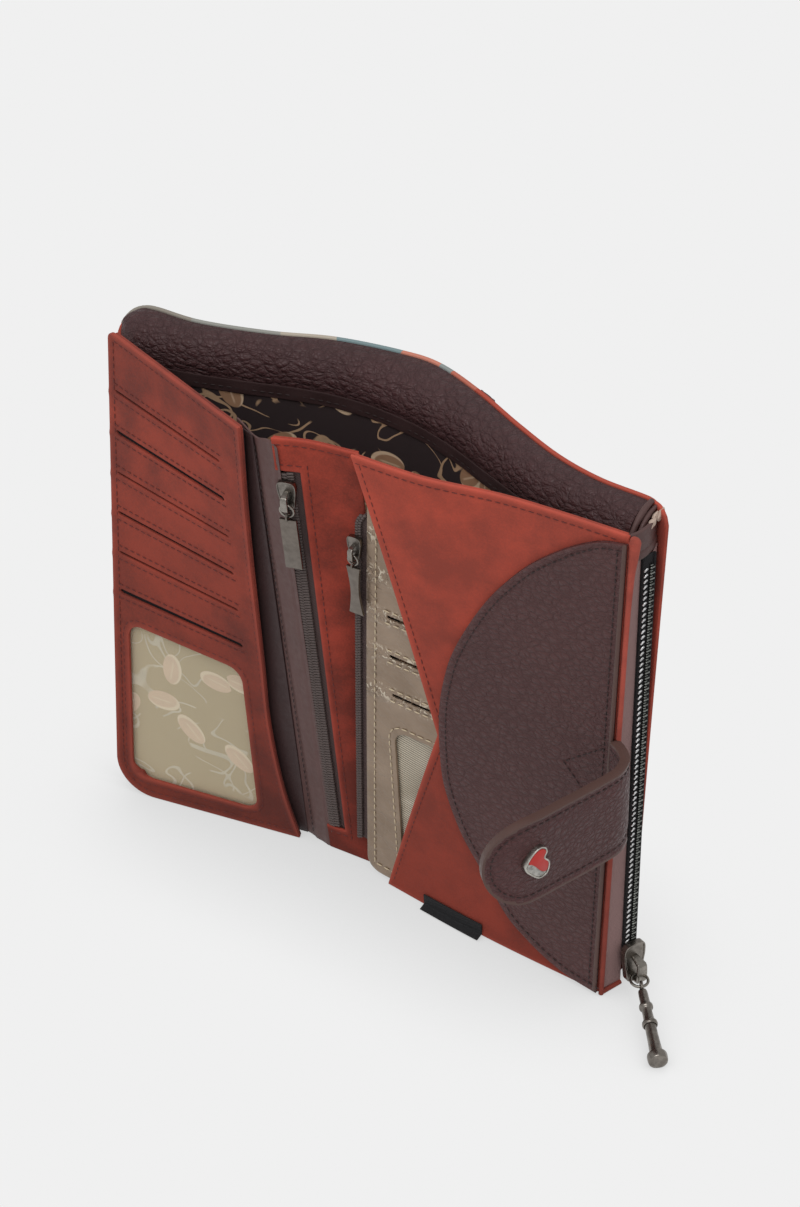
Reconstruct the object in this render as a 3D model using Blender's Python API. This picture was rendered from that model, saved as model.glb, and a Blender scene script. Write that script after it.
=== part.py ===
"""A folding wallet, opened about half way and standing on its lower edge.

X runs along the line between the two outer edges, left to right, Z is up,
and the card side faces -Y. The origin is on the flat base that the wallet
stands on, half way between the outer edges.
Each leather or cloth piece is drawn flat, in u along the wall and z up it,
and is then laid on a wall whose top and bottom edges follow their own lines
in plan. The depth w counts from the wall's photographed face to the back.
"""
import math

import bmesh
import bpy
from mathutils import Matrix, Vector

MM = 0.001

# Overall sizes
HEIGHT = 195 * MM
HALF_SPAN = 102.7 * MM
MOUTH = 68 * MM
GAP = 0.4 * MM
PLAIN_STEPS = (14 * MM, 32.5 * MM)
TWISTED_STEPS = (14 * MM, 16.25 * MM)
DIPPED_STEPS = (7 * MM, 16.25 * MM)

# Lines in plan, as shares of HALF_SPAN across and of MOUTH in depth from the front edges,
# with the origin this share of MOUTH behind them
ORIGIN_SHARE = 0.31
CARD_TOP_SHARES = ((-1.000, 0.000), (-0.317, -0.319))
CARD_BOTTOM_SHARES = ((-1.005, -0.087), (-0.318, 0.126))
GUSSET_TOP_SHARES = ((-0.375, -0.222), (-0.285, -0.256), (-0.211, -0.291))
GUSSET_BOTTOM_SHARES = ((-0.350, 0.193), (-0.285, 0.184), (-0.212, 0.158))
CENTRE_TOP_SHARES = ((-0.204, -0.293), (-0.088, -0.217), (0.060, -0.171), (0.112, -0.140))
CENTRE_BOTTOM_SHARES = ((-0.205, 0.157), (0.021, 0.178), (0.060, 0.184), (0.090, 0.188))
RIGHT_TOP_SHARES = ((0.060, -0.197), (0.312, -0.165), (0.571, -0.071), (0.810, -0.025), (1.000, 0.000))
RIGHT_BOTTOM_SHARES = ((0.049, 0.088), (0.495, 0.022), (0.982, -0.004))
LINING_TOP_SHARES = (
    (-0.985, 0.070), (-0.780, 0.130), (-0.585, 0.232), (-0.370, 0.356), (-0.195, 0.415), (0.000, 0.416),
    (0.175, 0.368), (0.390, 0.262), (0.585, 0.169), (0.780, 0.122), (0.965, 0.104))
LINING_BOTTOM_SHARES = (
    (-0.995, -0.015), (-0.585, 0.118), (-0.330, 0.219), (-0.205, 0.242), (0.020, 0.258), (0.140, 0.245),
    (0.300, 0.190), (0.495, 0.145), (0.960, 0.104))
COVER_TOP_SHARES = (
    (-1.007, 0.070), (-1.033, 0.160), (-1.021, 0.262), (-0.950, 0.302), (-0.785, 0.330), (-0.561, 0.447),
    (-0.365, 0.587), (-0.148, 0.674), (0.002, 0.691), (0.195, 0.607), (0.406, 0.476), (0.604, 0.369),
    (0.780, 0.322), (0.970, 0.322), (1.045, 0.268))
COVER_BOTTOM_SHARES = (
    (-1.010, 0.000), (-1.030, 0.070), (-1.005, 0.150), (-0.930, 0.178), (-0.780, 0.214), (-0.560, 0.290),
    (-0.360, 0.360), (-0.150, 0.385), (0.000, 0.380), (0.195, 0.345), (0.400, 0.305), (0.600, 0.280),
    (0.780, 0.270), (0.930, 0.265), (0.985, 0.257))

# Share of the cover's length that turns round its left end
TURNED_END_SHARE = 0.08

# Fold line of the two halves, in the same shares, foot and top
FOLD_FOOT_SHARE = (-0.263, 0.132)
FOLD_TOP_SHARE = (0.058, 0.397)

# Leather and cloth thicknesses
PANEL = 1.0 * MM
COVER = 1.4 * MM
FACING = 1.2 * MM
CLOTH = 0.6 * MM
TAPE = 0.5 * MM
FILM = 0.3 * MM
LEATHER = 1.4 * MM
FOOT_CLEARANCE = 0.4 * MM
BASE = 1.4 * MM

# Columns of the back lining and of the cover, left and right of the fold
LINING_COLUMNS = (9, 8)
COVER_COLUMNS = (16, 12)

# Roll of pebbled leather along the back of the mouth
FACING_DROP = 13 * MM
FACING_BOTTOM = HEIGHT - FACING_DROP
FACING_CLEARANCE = 0.6 * MM
FACING_STRIPS = 6
FACING_STEPS = 11

# Card panel on the left half, with its free edge drawn in at the middle
CARD_EDGE_SHARES = (
    (1.000, 0.000), (0.943, 0.120), (0.912, 0.277), (0.923, 0.430), (0.938, 0.660), (0.961, 0.830),
    (0.983, 0.925), (1.000, 1.000))
CARD_CORNER = 15 * MM
SLOT_COUNT = 6
SLOT_PITCH = HEIGHT * 0.0856
SLOT_LENGTH = 56 * MM
SLOT_INSET = 3 * MM
SLOT_GAPE = 0.9 * MM
FIRST_SLOT_DOWN = HEIGHT * 0.1164
WINDOW_INSET = 6.5 * MM
WINDOW_WIDTH = 50.5 * MM
WINDOW_FOOT = 8.5 * MM
WINDOW_HEIGHT = HEIGHT * 0.3487
WINDOW_CORNER = 6 * MM
LAYER_INSET = 2 * MM
CARD_FILM_DEPTH = PANEL + GAP
CARD_BACKING_DEPTH = CARD_FILM_DEPTH + FILM + GAP
CARD_LINING_DEPTH = CARD_BACKING_DEPTH + CLOTH + GAP

# Middle panel and its zip
CENTRE_WIDTH = 28.5 * MM
CENTRE_WINDOW_WIDTH = 8 * MM
CENTRE_WINDOW_FOOT = 12 * MM
CENTRE_WINDOW_TOP = HEIGHT - 14.4 * MM
VALLEY_DIP = 4 * MM
VALLEY_START = 11 * MM
VALLEY_WIDTH = 14 * MM
COIN_TAPE_DEPTH = PANEL + GAP
COIN_BAG_DEPTH = COIN_TAPE_DEPTH + TAPE + GAP
CENTRE_LINING_DEPTH = COIN_BAG_DEPTH + CLOTH + GAP
COIL_WIDTH = 4.4 * MM
COIL_THICKNESS = 1.4 * MM
COIN_COIL_CENTRE = 3.6 * MM
COIN_TAPE_REACH = 2.5 * MM
TAPE_SLIT = 0.4 * MM

# V-cut panel, metallic panel and round leather panel on the right half
V_POINT = 28.5 * MM
V_POINT_UP = HEIGHT * 0.4354
V_FOOT = 2.4 * MM
V_RIGHT_INSET = 0.5 * MM
METAL_DEPTH = 1.5 * MM
METAL_LEFT_TOP = 5.5 * MM
METAL_LEFT_FOOT = -8.4 * MM
METAL_FOOT = 1.5 * MM
METAL_TOP_DOWN = 5 * MM
METAL_WIDTH = 75 * MM
METAL_CORNER = 6 * MM
METAL_SLOT_START = 9 * MM
METAL_SLOT_FIRST = HEIGHT * 0.4749
METAL_SLOT_PITCH = HEIGHT * 0.0903
METAL_SLOT_COUNT = 3
METAL_WINDOW_LEFT = 9 * MM
METAL_WINDOW_FOOT = 8.5 * MM
METAL_FILM_DEPTH = METAL_DEPTH + PANEL + GAP
METAL_BACKING_DEPTH = METAL_FILM_DEPTH + FILM + GAP
RIGHT_LINING_DEPTH = METAL_BACKING_DEPTH + CLOTH + GAP
INNER_START = 8.5 * MM
ROUND_WIDTH = 66.5 * MM
ROUND_FOOT = 1.2 * MM
ROUND_HEIGHT = HEIGHT - 4 * MM
ROUND_SHARES = (
    (0.000, 1.000), (0.110, 0.992), (0.223, 0.970), (0.374, 0.929), (0.507, 0.885), (0.642, 0.826),
    (0.736, 0.776), (0.820, 0.720), (0.897, 0.658), (0.943, 0.604), (0.985, 0.520), (0.993, 0.420),
    (0.969, 0.329), (0.872, 0.234), (0.740, 0.163), (0.594, 0.087), (0.459, 0.050), (0.311, 0.022),
    (0.177, 0.008), (0.000, 0.000))
ROUND_SEGMENTS = 2
SECOND_COIL_CENTRE = -3.4 * MM
SECOND_COIL_WIDTH = 2.2 * MM
SECOND_COIL_DEPTH = 1.0 * MM
SECOND_TAPE_TUCK = 3 * MM
SECOND_ZIP_TOP_DOWN = 24 * MM
SECOND_ZIP_FOOT = 14 * MM

# Piping and side zip on the right edge
PIPING_RADIUS = 1.0 * MM
PIPING_OUT = 0.95 * MM
PIPING_BACK = 1.1 * MM
SIDE_CHAIN_TOP_SHARE = (1.031, 0.154)
SIDE_CHAIN_FOOT_SHARE = (1.0135, 0.154)
SIDE_HEADING = math.radians(70)
SIDE_CHAIN_WIDTH = 5.8 * MM
SIDE_CHAIN_THICKNESS = 1.6 * MM
SIDE_TOOTH_SHARE = 0.55
SIDE_PITCH = 2.25 * MM
SIDE_CHAIN_LOW = 16 * MM
SIDE_CHAIN_HIGH = HEIGHT - 17 * MM
SIDE_TAPE_LOW = 3 * MM
SIDE_TAB_HEIGHT = 10.5 * MM
SIDE_TAB_RISE = 12.5 * MM
TAB_STEPS = 6
TAPE_ROWS = 12
PIPING_ROWS = 12
PIPING_SIDES = 8

# Sliders, rings and pulls
SLIDER_WIDTH = 6.6 * MM
SLIDER_LENGTH = 11.5 * MM
SLIDER_PLATE = 1.3 * MM
SLIDER_RISE = 0.8 * MM
BRIDGE_WIDTH = 1.3 * MM
BRIDGE_WIRE = 1.0 * MM
BRIDGE_LENGTH = 8 * MM
BRIDGE_HEIGHT = 3.4 * MM
BRIDGE_SINK = 0.5 * MM
BRIDGE_KNEE_SHARE = 0.8
BRIDGE_BEND_SHARE = 0.85
BRIDGE_CROWN_SHARE = 0.55
SLIDER_SHIFT_SHARE = 0.28
SLIDER_SHARES = (
    (-0.55, -1), (0.55, -1), (0.8, -0.35), (1.0, 0.45),
    (0.75, 1.0), (-0.75, 1.0), (-1.0, 0.45), (-0.8, -0.35))
SIDEWAYS = Matrix(((0, 0, 1, 0), (1, 0, 0, 0), (0, 1, 0, 0), (0, 0, 0, 1)))
RING_RADIUS = 2.4 * MM
RING_WIRE = 0.45 * MM
EYE_RADIUS = 1.35 * MM
EYE_WIRE = 0.4 * MM
COIN_TAG_LENGTH = 22 * MM
COIN_TAG_WIDTH = 6 * MM
TAG_THICKNESS = 1.1 * MM
SECOND_TAG_LENGTH = 20.5 * MM
SECOND_TAG_WIDTH = 5.6 * MM
SECOND_TAG_WAIST_SHARE = 0.62
SECOND_TAG_WAIST_SHARES = (0.68, 0.4)
SECOND_TAG_TOP_SHARE = 0.95
COIN_SLIDER_DOWN = 25 * MM
SECOND_SCALE_SHARE = 0.8
SECOND_SLIDER_DOWN = 41 * MM
SIDE_SCALE_SHARE = 1.35
SIDE_SLIDER_UP = 9 * MM
LINK_RADIUS = 3.0 * MM
LINK_WIRE = 0.5 * MM
LINK_HEADING = math.radians(-44)
PULL_LENGTH = 32.5 * MM
PULL_HEADING = math.radians(-48)
PULL_DROOP = math.radians(6)
PULL_PROFILE_SHARES = (
    (0.00, 0.32), (0.03, 0.46), (0.19, 0.50), (0.22, 0.66), (0.26, 0.66), (0.29, 0.50), (0.43, 0.56),
    (0.46, 0.74), (0.50, 0.74), (0.53, 0.56), (0.86, 0.66), (0.90, 0.96), (0.94, 1.00), (0.985, 0.96),
    (1.00, 0.84))
PULL_RADIUS = 3.5 * MM
PULL_EYE_SHARE = 1.25

# Strap and its heart-shaped snap cap
STRAP_WIDTH = 34 * MM
STRAP_MIDDLE = HEIGHT * 0.4923
STRAP_SHARES = (
    (1.006, -0.008), (1.020, -0.019), (1.039, -0.034), (1.071, -0.072), (1.092, -0.116), (1.103, -0.204),
    (1.091, -0.301), (1.047, -0.537), (0.992, -0.790), (0.903, -0.947))
STRAP_GAP = 0.3 * MM
STRAP_STEP = 4 * MM
STRAP_TIP_STEPS = 10
SNAP_FROM_TIP = 18 * MM
HEART_LENGTH = 10.2 * MM
HEART_WIDTH = 12.6 * MM
HEART_TURN = math.radians(11)
HEART_UP = 0.8 * MM
HEART_THICKNESS = 1.8 * MM
HEART_INLAY = 0.35 * MM
INLAY_GAP = 0.1 * MM
HEART_INLAY_SHARE = 0.8
HEART_SHARES = (
    (0.00, 0.30), (0.10, 0.43), (0.26, 0.50), (0.42, 0.44), (0.50, 0.26), (0.45, 0.04), (0.28, -0.20),
    (0.00, -0.50))
SOCKET_RADIUS = 5 * MM
SOCKET_THICKNESS = 2.2 * MM
SNAP_FACETS = 20
SNAP_GAP = 0.7 * MM

# Small trim
LABEL_LEFT = 20 * MM
LABEL_WIDTH = 26 * MM
LABEL_HEIGHT = 7 * MM
LABEL_OUT = 0.6 * MM
STUD_FROM_FOLD = 42 * MM
STUD_UP = STRAP_MIDDLE
TAB_FROM_FOLD = 13 * MM
TAB_WIDTH = 9 * MM
TAB_HEIGHT = 16 * MM
TAB_TOP_DOWN = 0.5 * MM

RED = ((0.30, 0.045, 0.028, 1), 0.75, 0.0)
BROWN = ((0.075, 0.040, 0.036, 1), 0.55, 0.0)
BLACK = ((0.012, 0.011, 0.012, 1), 0.80, 0.0)
BRONZE = ((0.24, 0.19, 0.13, 1), 0.35, 0.35)
METAL = ((0.21, 0.20, 0.18, 1), 0.35, 1.0)
CLEAR = ((0.55, 0.50, 0.36, 1), 0.25, 0.0)
ENAMEL = ((0.42, 0.03, 0.025, 1), 0.20, 0.0)
TAUPE = ((0.30, 0.26, 0.18, 1), 0.70, 0.0)


def clear_scene():
    for item in list(bpy.data.objects):
        bpy.data.objects.remove(item, do_unlink=True)


def material(name, look):
    colour, roughness, metallic = look
    made = bpy.data.materials.new(name)
    made.use_nodes = True
    shader = made.node_tree.nodes["Principled BSDF"]
    shader.inputs["Base Color"].default_value = colour
    shader.inputs["Roughness"].default_value = roughness
    shader.inputs["Metallic"].default_value = metallic
    return made


def keep(name, bm, look, smooth=True):
    bmesh.ops.recalc_face_normals(bm, faces=bm.faces)
    mesh = bpy.data.meshes.new(name)
    bm.to_mesh(mesh)
    bm.free()
    item = bpy.data.objects.new(name, mesh)
    bpy.context.collection.objects.link(item)
    mesh.materials.append(material(name + "_finish", look))
    if smooth:
        mesh.shade_smooth()
        mesh.set_sharp_from_angle(angle=math.radians(35))
    return item


def plan(pair, z=0.0):
    """The place of a pair of shares, at a height."""
    return Vector((pair[0] * HALF_SPAN, (pair[1] - ORIGIN_SHARE) * MOUTH, z))


class Line:
    """A smooth line in plan through given points, walked by its length."""

    SAMPLES = 16

    def __init__(self, shares):
        points = [plan(pair).xy for pair in shares]
        ends = [points[0] * 2 - points[1]] + points + [points[-1] * 2 - points[-2]]
        self.dots = [points[0]]
        for a, b, c, d in zip(ends, ends[1:], ends[2:], ends[3:]):
            for k in range(1, self.SAMPLES + 1):
                t = k / self.SAMPLES
                self.dots.append(0.5 * ((2 * b) + (c - a) * t + (2 * a - 5 * b + 4 * c - d) * t ** 2
                                        + (3 * b - a - 3 * c + d) * t ** 3))
        self.marks = [0.0]
        for p, q in zip(self.dots, self.dots[1:]):
            self.marks.append(self.marks[-1] + (q - p).length)
        self.length = self.marks[-1]

    def at(self, share):
        """The point and the direction at a share of the length, straight on past the ends."""
        along = share * self.length
        k = 1
        while k < len(self.marks) - 1 and self.marks[k] < along:
            k += 1
        p, q = self.dots[k - 1], self.dots[k]
        step = (along - self.marks[k - 1]) / (self.marks[k] - self.marks[k - 1])
        before, after = self.dots[max(k - 2, 0)], self.dots[min(k + 1, len(self.dots) - 1)]
        return p.lerp(q, step), (after - before).normalized()


class Wall:
    """A ruled wall between a line at its foot and a line at its top."""

    def __init__(self, top, foot, rise=HEIGHT, dip=0.0, steps=PLAIN_STEPS):
        self.top, self.foot, self.rise, self.dip, self.steps = Line(top), Line(foot), rise, dip, steps
        self.width = (self.top.length + self.foot.length) / 2

    def at(self, u, z, w=0.0):
        share, v = u / self.width, z / self.rise
        top, top_way = self.top.at(share)
        foot, foot_way = self.foot.at(share)
        place = foot.lerp(top, v)
        way = foot_way.lerp(top_way, v).normalized()
        blend = min(max((u - VALLEY_START) / VALLEY_WIDTH, 0.0), 1.0)
        w += self.dip * math.sin(math.pi * min(max(v, 0.0), 1.0)) * blend * blend * (3 - 2 * blend)
        return Vector((place.x - way.y * w, place.y + way.x * w, z))

    def across(self, x, z):
        """The u whose face is at x, for a wall that runs left to right."""
        low, high = 0.0, self.width
        for _ in range(40):
            middle = (low + high) / 2
            if self.at(middle, z).x < x:
                low = middle
            else:
                high = middle
        return (low + high) / 2

    def at_fold(self, z):
        """The u where the fold line crosses the wall."""
        return self.across(fold_x(z), z)

    def past_end(self, x, z, w):
        """The u whose layer at depth w is at x, past the wall's turned left end."""
        low, high = self.width * TURNED_END_SHARE, self.width
        for _ in range(40):
            middle = (low + high) / 2
            if self.at(middle, z, w).x < x:
                low = middle
            else:
                high = middle
        return (low + high) / 2

    def frame(self, u, z, w=0.0):
        """A frame on the wall: X along it, Y up it, Z out of its face."""
        step = GAP
        place = self.at(u, z, w)
        up = (self.at(u, z + step, w) - place).normalized()
        out = (self.at(u, z, w - step) - place).normalized()
        along = up.cross(out).normalized()
        out = along.cross(up)
        turn = Matrix((along, up, out)).transposed().to_4x4()
        return Matrix.Translation(place) @ turn


card_wall = Wall(CARD_TOP_SHARES, CARD_BOTTOM_SHARES, steps=TWISTED_STEPS)
gusset_wall = Wall(GUSSET_TOP_SHARES, GUSSET_BOTTOM_SHARES, steps=TWISTED_STEPS)
centre_wall = Wall(CENTRE_TOP_SHARES, CENTRE_BOTTOM_SHARES, dip=VALLEY_DIP, steps=DIPPED_STEPS)
right_wall = Wall(RIGHT_TOP_SHARES, RIGHT_BOTTOM_SHARES)
lining_wall = Wall(LINING_TOP_SHARES, LINING_BOTTOM_SHARES, FACING_BOTTOM - GAP)
cover_wall = Wall(COVER_TOP_SHARES, COVER_BOTTOM_SHARES)


def fold_x(z):
    return HALF_SPAN * (FOLD_FOOT_SHARE[0] + (FOLD_TOP_SHARE[0] - FOLD_FOOT_SHARE[0]) * z / HEIGHT)


def thicken(bm_flat, front, back):
    """Closes a flat triangle mesh, in u and z, between two placed faces."""
    bm = bmesh.new()
    fronts, backs = {}, {}
    for vert in bm_flat.verts:
        fronts[vert] = bm.verts.new(front(vert.co.x, vert.co.y))
        backs[vert] = bm.verts.new(back(vert.co.x, vert.co.y))
    for face in bm_flat.faces:
        bm.faces.new([fronts[v] for v in face.verts])
        bm.faces.new([backs[v] for v in reversed(face.verts)])
    for edge in bm_flat.edges:
        if len(edge.link_faces) == 1:
            a, b = edge.verts
            bm.faces.new((fronts[a], fronts[b], backs[b], backs[a]))
    bm_flat.free()
    return bm


def flat_pattern(outline, holes, steps):
    """A flat piece with its holes, cut along the common grid and into triangles."""
    bm = bmesh.new()
    edges = []
    for loop in [outline] + list(holes):
        verts = [bm.verts.new((u, z, 0)) for u, z in loop]
        for a, b in zip(verts, verts[1:] + verts[:1]):
            edges.append(bm.edges.new((a, b)))
    bmesh.ops.triangle_fill(bm, use_beauty=True, use_dissolve=False, edges=edges)
    us = [u for u, _ in outline]
    zs = [z for _, z in outline]
    cuts = []
    for low, high, step, normal in ((min(us), max(us), steps[0], (1, 0, 0)),
                                    (min(zs), max(zs), steps[1], (0, 1, 0))):
        for k in range(math.ceil(low / step), math.floor(high / step) + 1):
            cuts.append((Vector(normal) * (k * step), normal))
    for place, normal in cuts:
        whole = bm.verts[:] + bm.edges[:] + bm.faces[:]
        bmesh.ops.bisect_plane(bm, geom=whole, dist=GAP / 100, plane_co=place, plane_no=normal)
    bmesh.ops.triangulate(bm, faces=bm.faces)
    return bm


def sheet(name, wall, outline, depth, thickness, look, holes=()):
    """A leather or cloth piece on a wall, from its flat outline."""
    flat = flat_pattern(outline, holes, wall.steps)
    bm = thicken(flat, lambda u, z: wall.at(u, z, depth), lambda u, z: wall.at(u, z, depth + thickness))
    return keep(name, bm, look)


def arc_corner(u, z, radius, start, segments=4):
    """Points of a quarter turn about (u, z)."""
    angles = [math.radians(start + 90 * k / segments) for k in range(segments + 1)]
    return [(u + radius * math.cos(a), z + radius * math.sin(a)) for a in angles]


def rectangle(left, foot, right, top):
    return [(left, foot), (right, foot), (right, top), (left, top)]


def rounded(left, foot, right, top, radius):
    return (arc_corner(right - radius, top - radius, radius, 0)
            + arc_corner(left + radius, top - radius, radius, 90)
            + arc_corner(left + radius, foot + radius, radius, 180)
            + arc_corner(right - radius, foot + radius, radius, 270))


def smooth_outline(points, segments):
    """A smooth open line of points through the given ones."""
    points = [Vector(p) for p in points]
    ends = [points[0] * 2 - points[1]] + points + [points[-1] * 2 - points[-2]]
    dots = [points[0]]
    for a, b, c, d in zip(ends, ends[1:], ends[2:], ends[3:]):
        for k in range(1, segments + 1):
            t = k / segments
            dots.append(0.5 * ((2 * b) + (c - a) * t + (2 * a - 5 * b + 4 * c - d) * t ** 2
                               + (3 * b - a - 3 * c + d) * t ** 3))
    return [tuple(p) for p in dots]


def prism(name, outline, place, low, high, look, smooth=False):
    """An outline in a frame's X and Y, as thick as from low to high along its Z."""
    bm = bmesh.new()
    verts = [bm.verts.new((x, y, low)) for x, y in outline]
    face = bm.faces.new(verts)
    grown = bmesh.ops.extrude_face_region(bm, geom=[face])
    tops = [g for g in grown["geom"] if isinstance(g, bmesh.types.BMVert)]
    bmesh.ops.translate(bm, verts=tops, vec=(0, 0, high - low))
    bmesh.ops.transform(bm, matrix=place, verts=bm.verts)
    return keep(name, bm, look, smooth)


def torus(bm, place, radius, wire, around=14, sides=6):
    """A ring in the frame's XY plane, added to a mesh."""
    rings = []
    for k in range(around):
        a = math.tau * k / around
        ring = []
        for j in range(sides):
            b = math.tau * j / sides
            reach = radius + wire * math.cos(b)
            dot = Vector((reach * math.cos(a), reach * math.sin(a), wire * math.sin(b)))
            ring.append(bm.verts.new(place @ dot))
        rings.append(ring)
    for k, ring in enumerate(rings):
        following = rings[(k + 1) % around]
        for j in range(sides):
            i = (j + 1) % sides
            bm.faces.new((ring[j], following[j], following[i], ring[i]))


def lathe(bm, place, profile, sides=12):
    """A turned shape along the frame's X from (along, radius) points, with closed ends."""
    rings = []
    for along, radius in profile:
        ring = []
        for j in range(sides):
            a = math.tau * j / sides
            ring.append(bm.verts.new(place @ Vector((along, radius * math.cos(a), radius * math.sin(a)))))
        rings.append(ring)
    for ring, following in zip(rings, rings[1:]):
        for j in range(sides):
            i = (j + 1) % sides
            bm.faces.new((ring[j], following[j], following[i], ring[i]))
    bm.faces.new(rings[0])
    bm.faces.new(rings[-1])


def union(item, other):
    """Joins a second body to an object."""
    other.hide_render = True
    other.display_type = "WIRE"
    joined = item.modifiers.new("union", "BOOLEAN")
    joined.operation = "UNION"
    joined.solver = "EXACT"
    joined.object = other


def card_layer(left, foot, top, inset, radius, crown=0.0):
    """The outline of a layer of the card panel: a round lower left corner and the drawn-in free edge."""
    right = card_wall.width - inset
    outline = [(share * card_wall.width - inset, foot + up * (top - foot)) for share, up in CARD_EDGE_SHARES
               if (1 - up) * (top - foot) >= crown]
    if crown:
        outline += arc_corner(right - crown, top - crown, crown, 0)
        outline += arc_corner(left + crown, top - crown, crown, 90)
    else:
        outline.append((left, top))
    return outline + arc_corner(left + radius, foot + radius, radius, 180)


def build_left_half():
    slots = []
    for k in range(SLOT_COUNT):
        z = HEIGHT - FIRST_SLOT_DOWN - k * SLOT_PITCH
        slots.append(rectangle(SLOT_INSET, z - SLOT_GAPE / 2, SLOT_INSET + SLOT_LENGTH, z + SLOT_GAPE / 2))
    window = rounded(WINDOW_INSET, WINDOW_FOOT, WINDOW_INSET + WINDOW_WIDTH, WINDOW_FOOT + WINDOW_HEIGHT,
                     WINDOW_CORNER)
    outline = card_layer(0, FOOT_CLEARANCE, HEIGHT, 0, CARD_CORNER)
    sheet("card_panel", card_wall, outline, 0, PANEL, RED, slots + [window])
    film = rectangle(WINDOW_INSET - LAYER_INSET, WINDOW_FOOT - LAYER_INSET,
                     WINDOW_INSET + WINDOW_WIDTH + LAYER_INSET, WINDOW_FOOT + WINDOW_HEIGHT + LAYER_INSET)
    sheet("card_window_film", card_wall, film, CARD_FILM_DEPTH, FILM, CLEAR)
    corner = CARD_CORNER - LAYER_INSET
    backing = card_layer(LAYER_INSET, LAYER_INSET, HEIGHT - LAYER_INSET, LAYER_INSET, corner, corner)
    sheet("card_pocket_backing", card_wall, backing, CARD_BACKING_DEPTH, CLOTH, TAUPE)
    edge = LAYER_INSET / 2
    lining = card_layer(edge, FOOT_CLEARANCE, HEIGHT - edge, LAYER_INSET, corner, corner)
    sheet("left_front_lining", card_wall, lining, CARD_LINING_DEPTH, CLOTH, BLACK)


def build_gusset():
    strip = rectangle(0, FOOT_CLEARANCE, gusset_wall.width, HEIGHT - LAYER_INSET)
    sheet("gusset_strip", gusset_wall, strip, 0, CLOTH, BROWN)


def build_middle():
    width = CENTRE_WIDTH
    outline = [(0, FOOT_CLEARANCE), (width, FOOT_CLEARANCE), (width, HEIGHT - GAP), (0, HEIGHT - GAP),
               (0, CENTRE_WINDOW_TOP), (CENTRE_WINDOW_WIDTH, CENTRE_WINDOW_TOP),
               (CENTRE_WINDOW_WIDTH, CENTRE_WINDOW_FOOT), (0, CENTRE_WINDOW_FOOT)]
    sheet("middle_panel", centre_wall, outline, 0, PANEL, RED)
    low, high = CENTRE_WINDOW_FOOT - LAYER_INSET, CENTRE_WINDOW_TOP + LAYER_INSET
    slit = COIN_COIL_CENTRE
    left = rectangle(0, low, slit - TAPE_SLIT / 2, high)
    right = rectangle(slit + TAPE_SLIT / 2, low, CENTRE_WINDOW_WIDTH + COIN_TAPE_REACH, high)
    sheet("coin_zip_tape_left", centre_wall, left, COIN_TAPE_DEPTH, TAPE, BROWN)
    sheet("coin_zip_tape_right", centre_wall, right, COIN_TAPE_DEPTH, TAPE, BROWN)
    coil = rectangle(slit - COIL_WIDTH / 2, CENTRE_WINDOW_FOOT + GAP,
                     slit + COIL_WIDTH / 2, CENTRE_WINDOW_TOP - GAP)
    sheet("coin_zip_coil", centre_wall, coil, COIN_TAPE_DEPTH - GAP - COIL_THICKNESS, COIL_THICKNESS, BLACK)
    bag = rectangle(0, LAYER_INSET, width - LAYER_INSET, HEIGHT - FACING_DROP)
    sheet("coin_pocket_bag", centre_wall, bag, COIN_BAG_DEPTH, CLOTH, BLACK)
    lining = rectangle(0, FOOT_CLEARANCE, width, HEIGHT - LAYER_INSET / 2)
    sheet("middle_front_lining", centre_wall, lining, CENTRE_LINING_DEPTH, CLOTH, BLACK)


def metal_left(z):
    """The left edge of the metallic panel at a height."""
    return METAL_LEFT_FOOT + (METAL_LEFT_TOP - METAL_LEFT_FOOT) * z / HEIGHT


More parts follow.
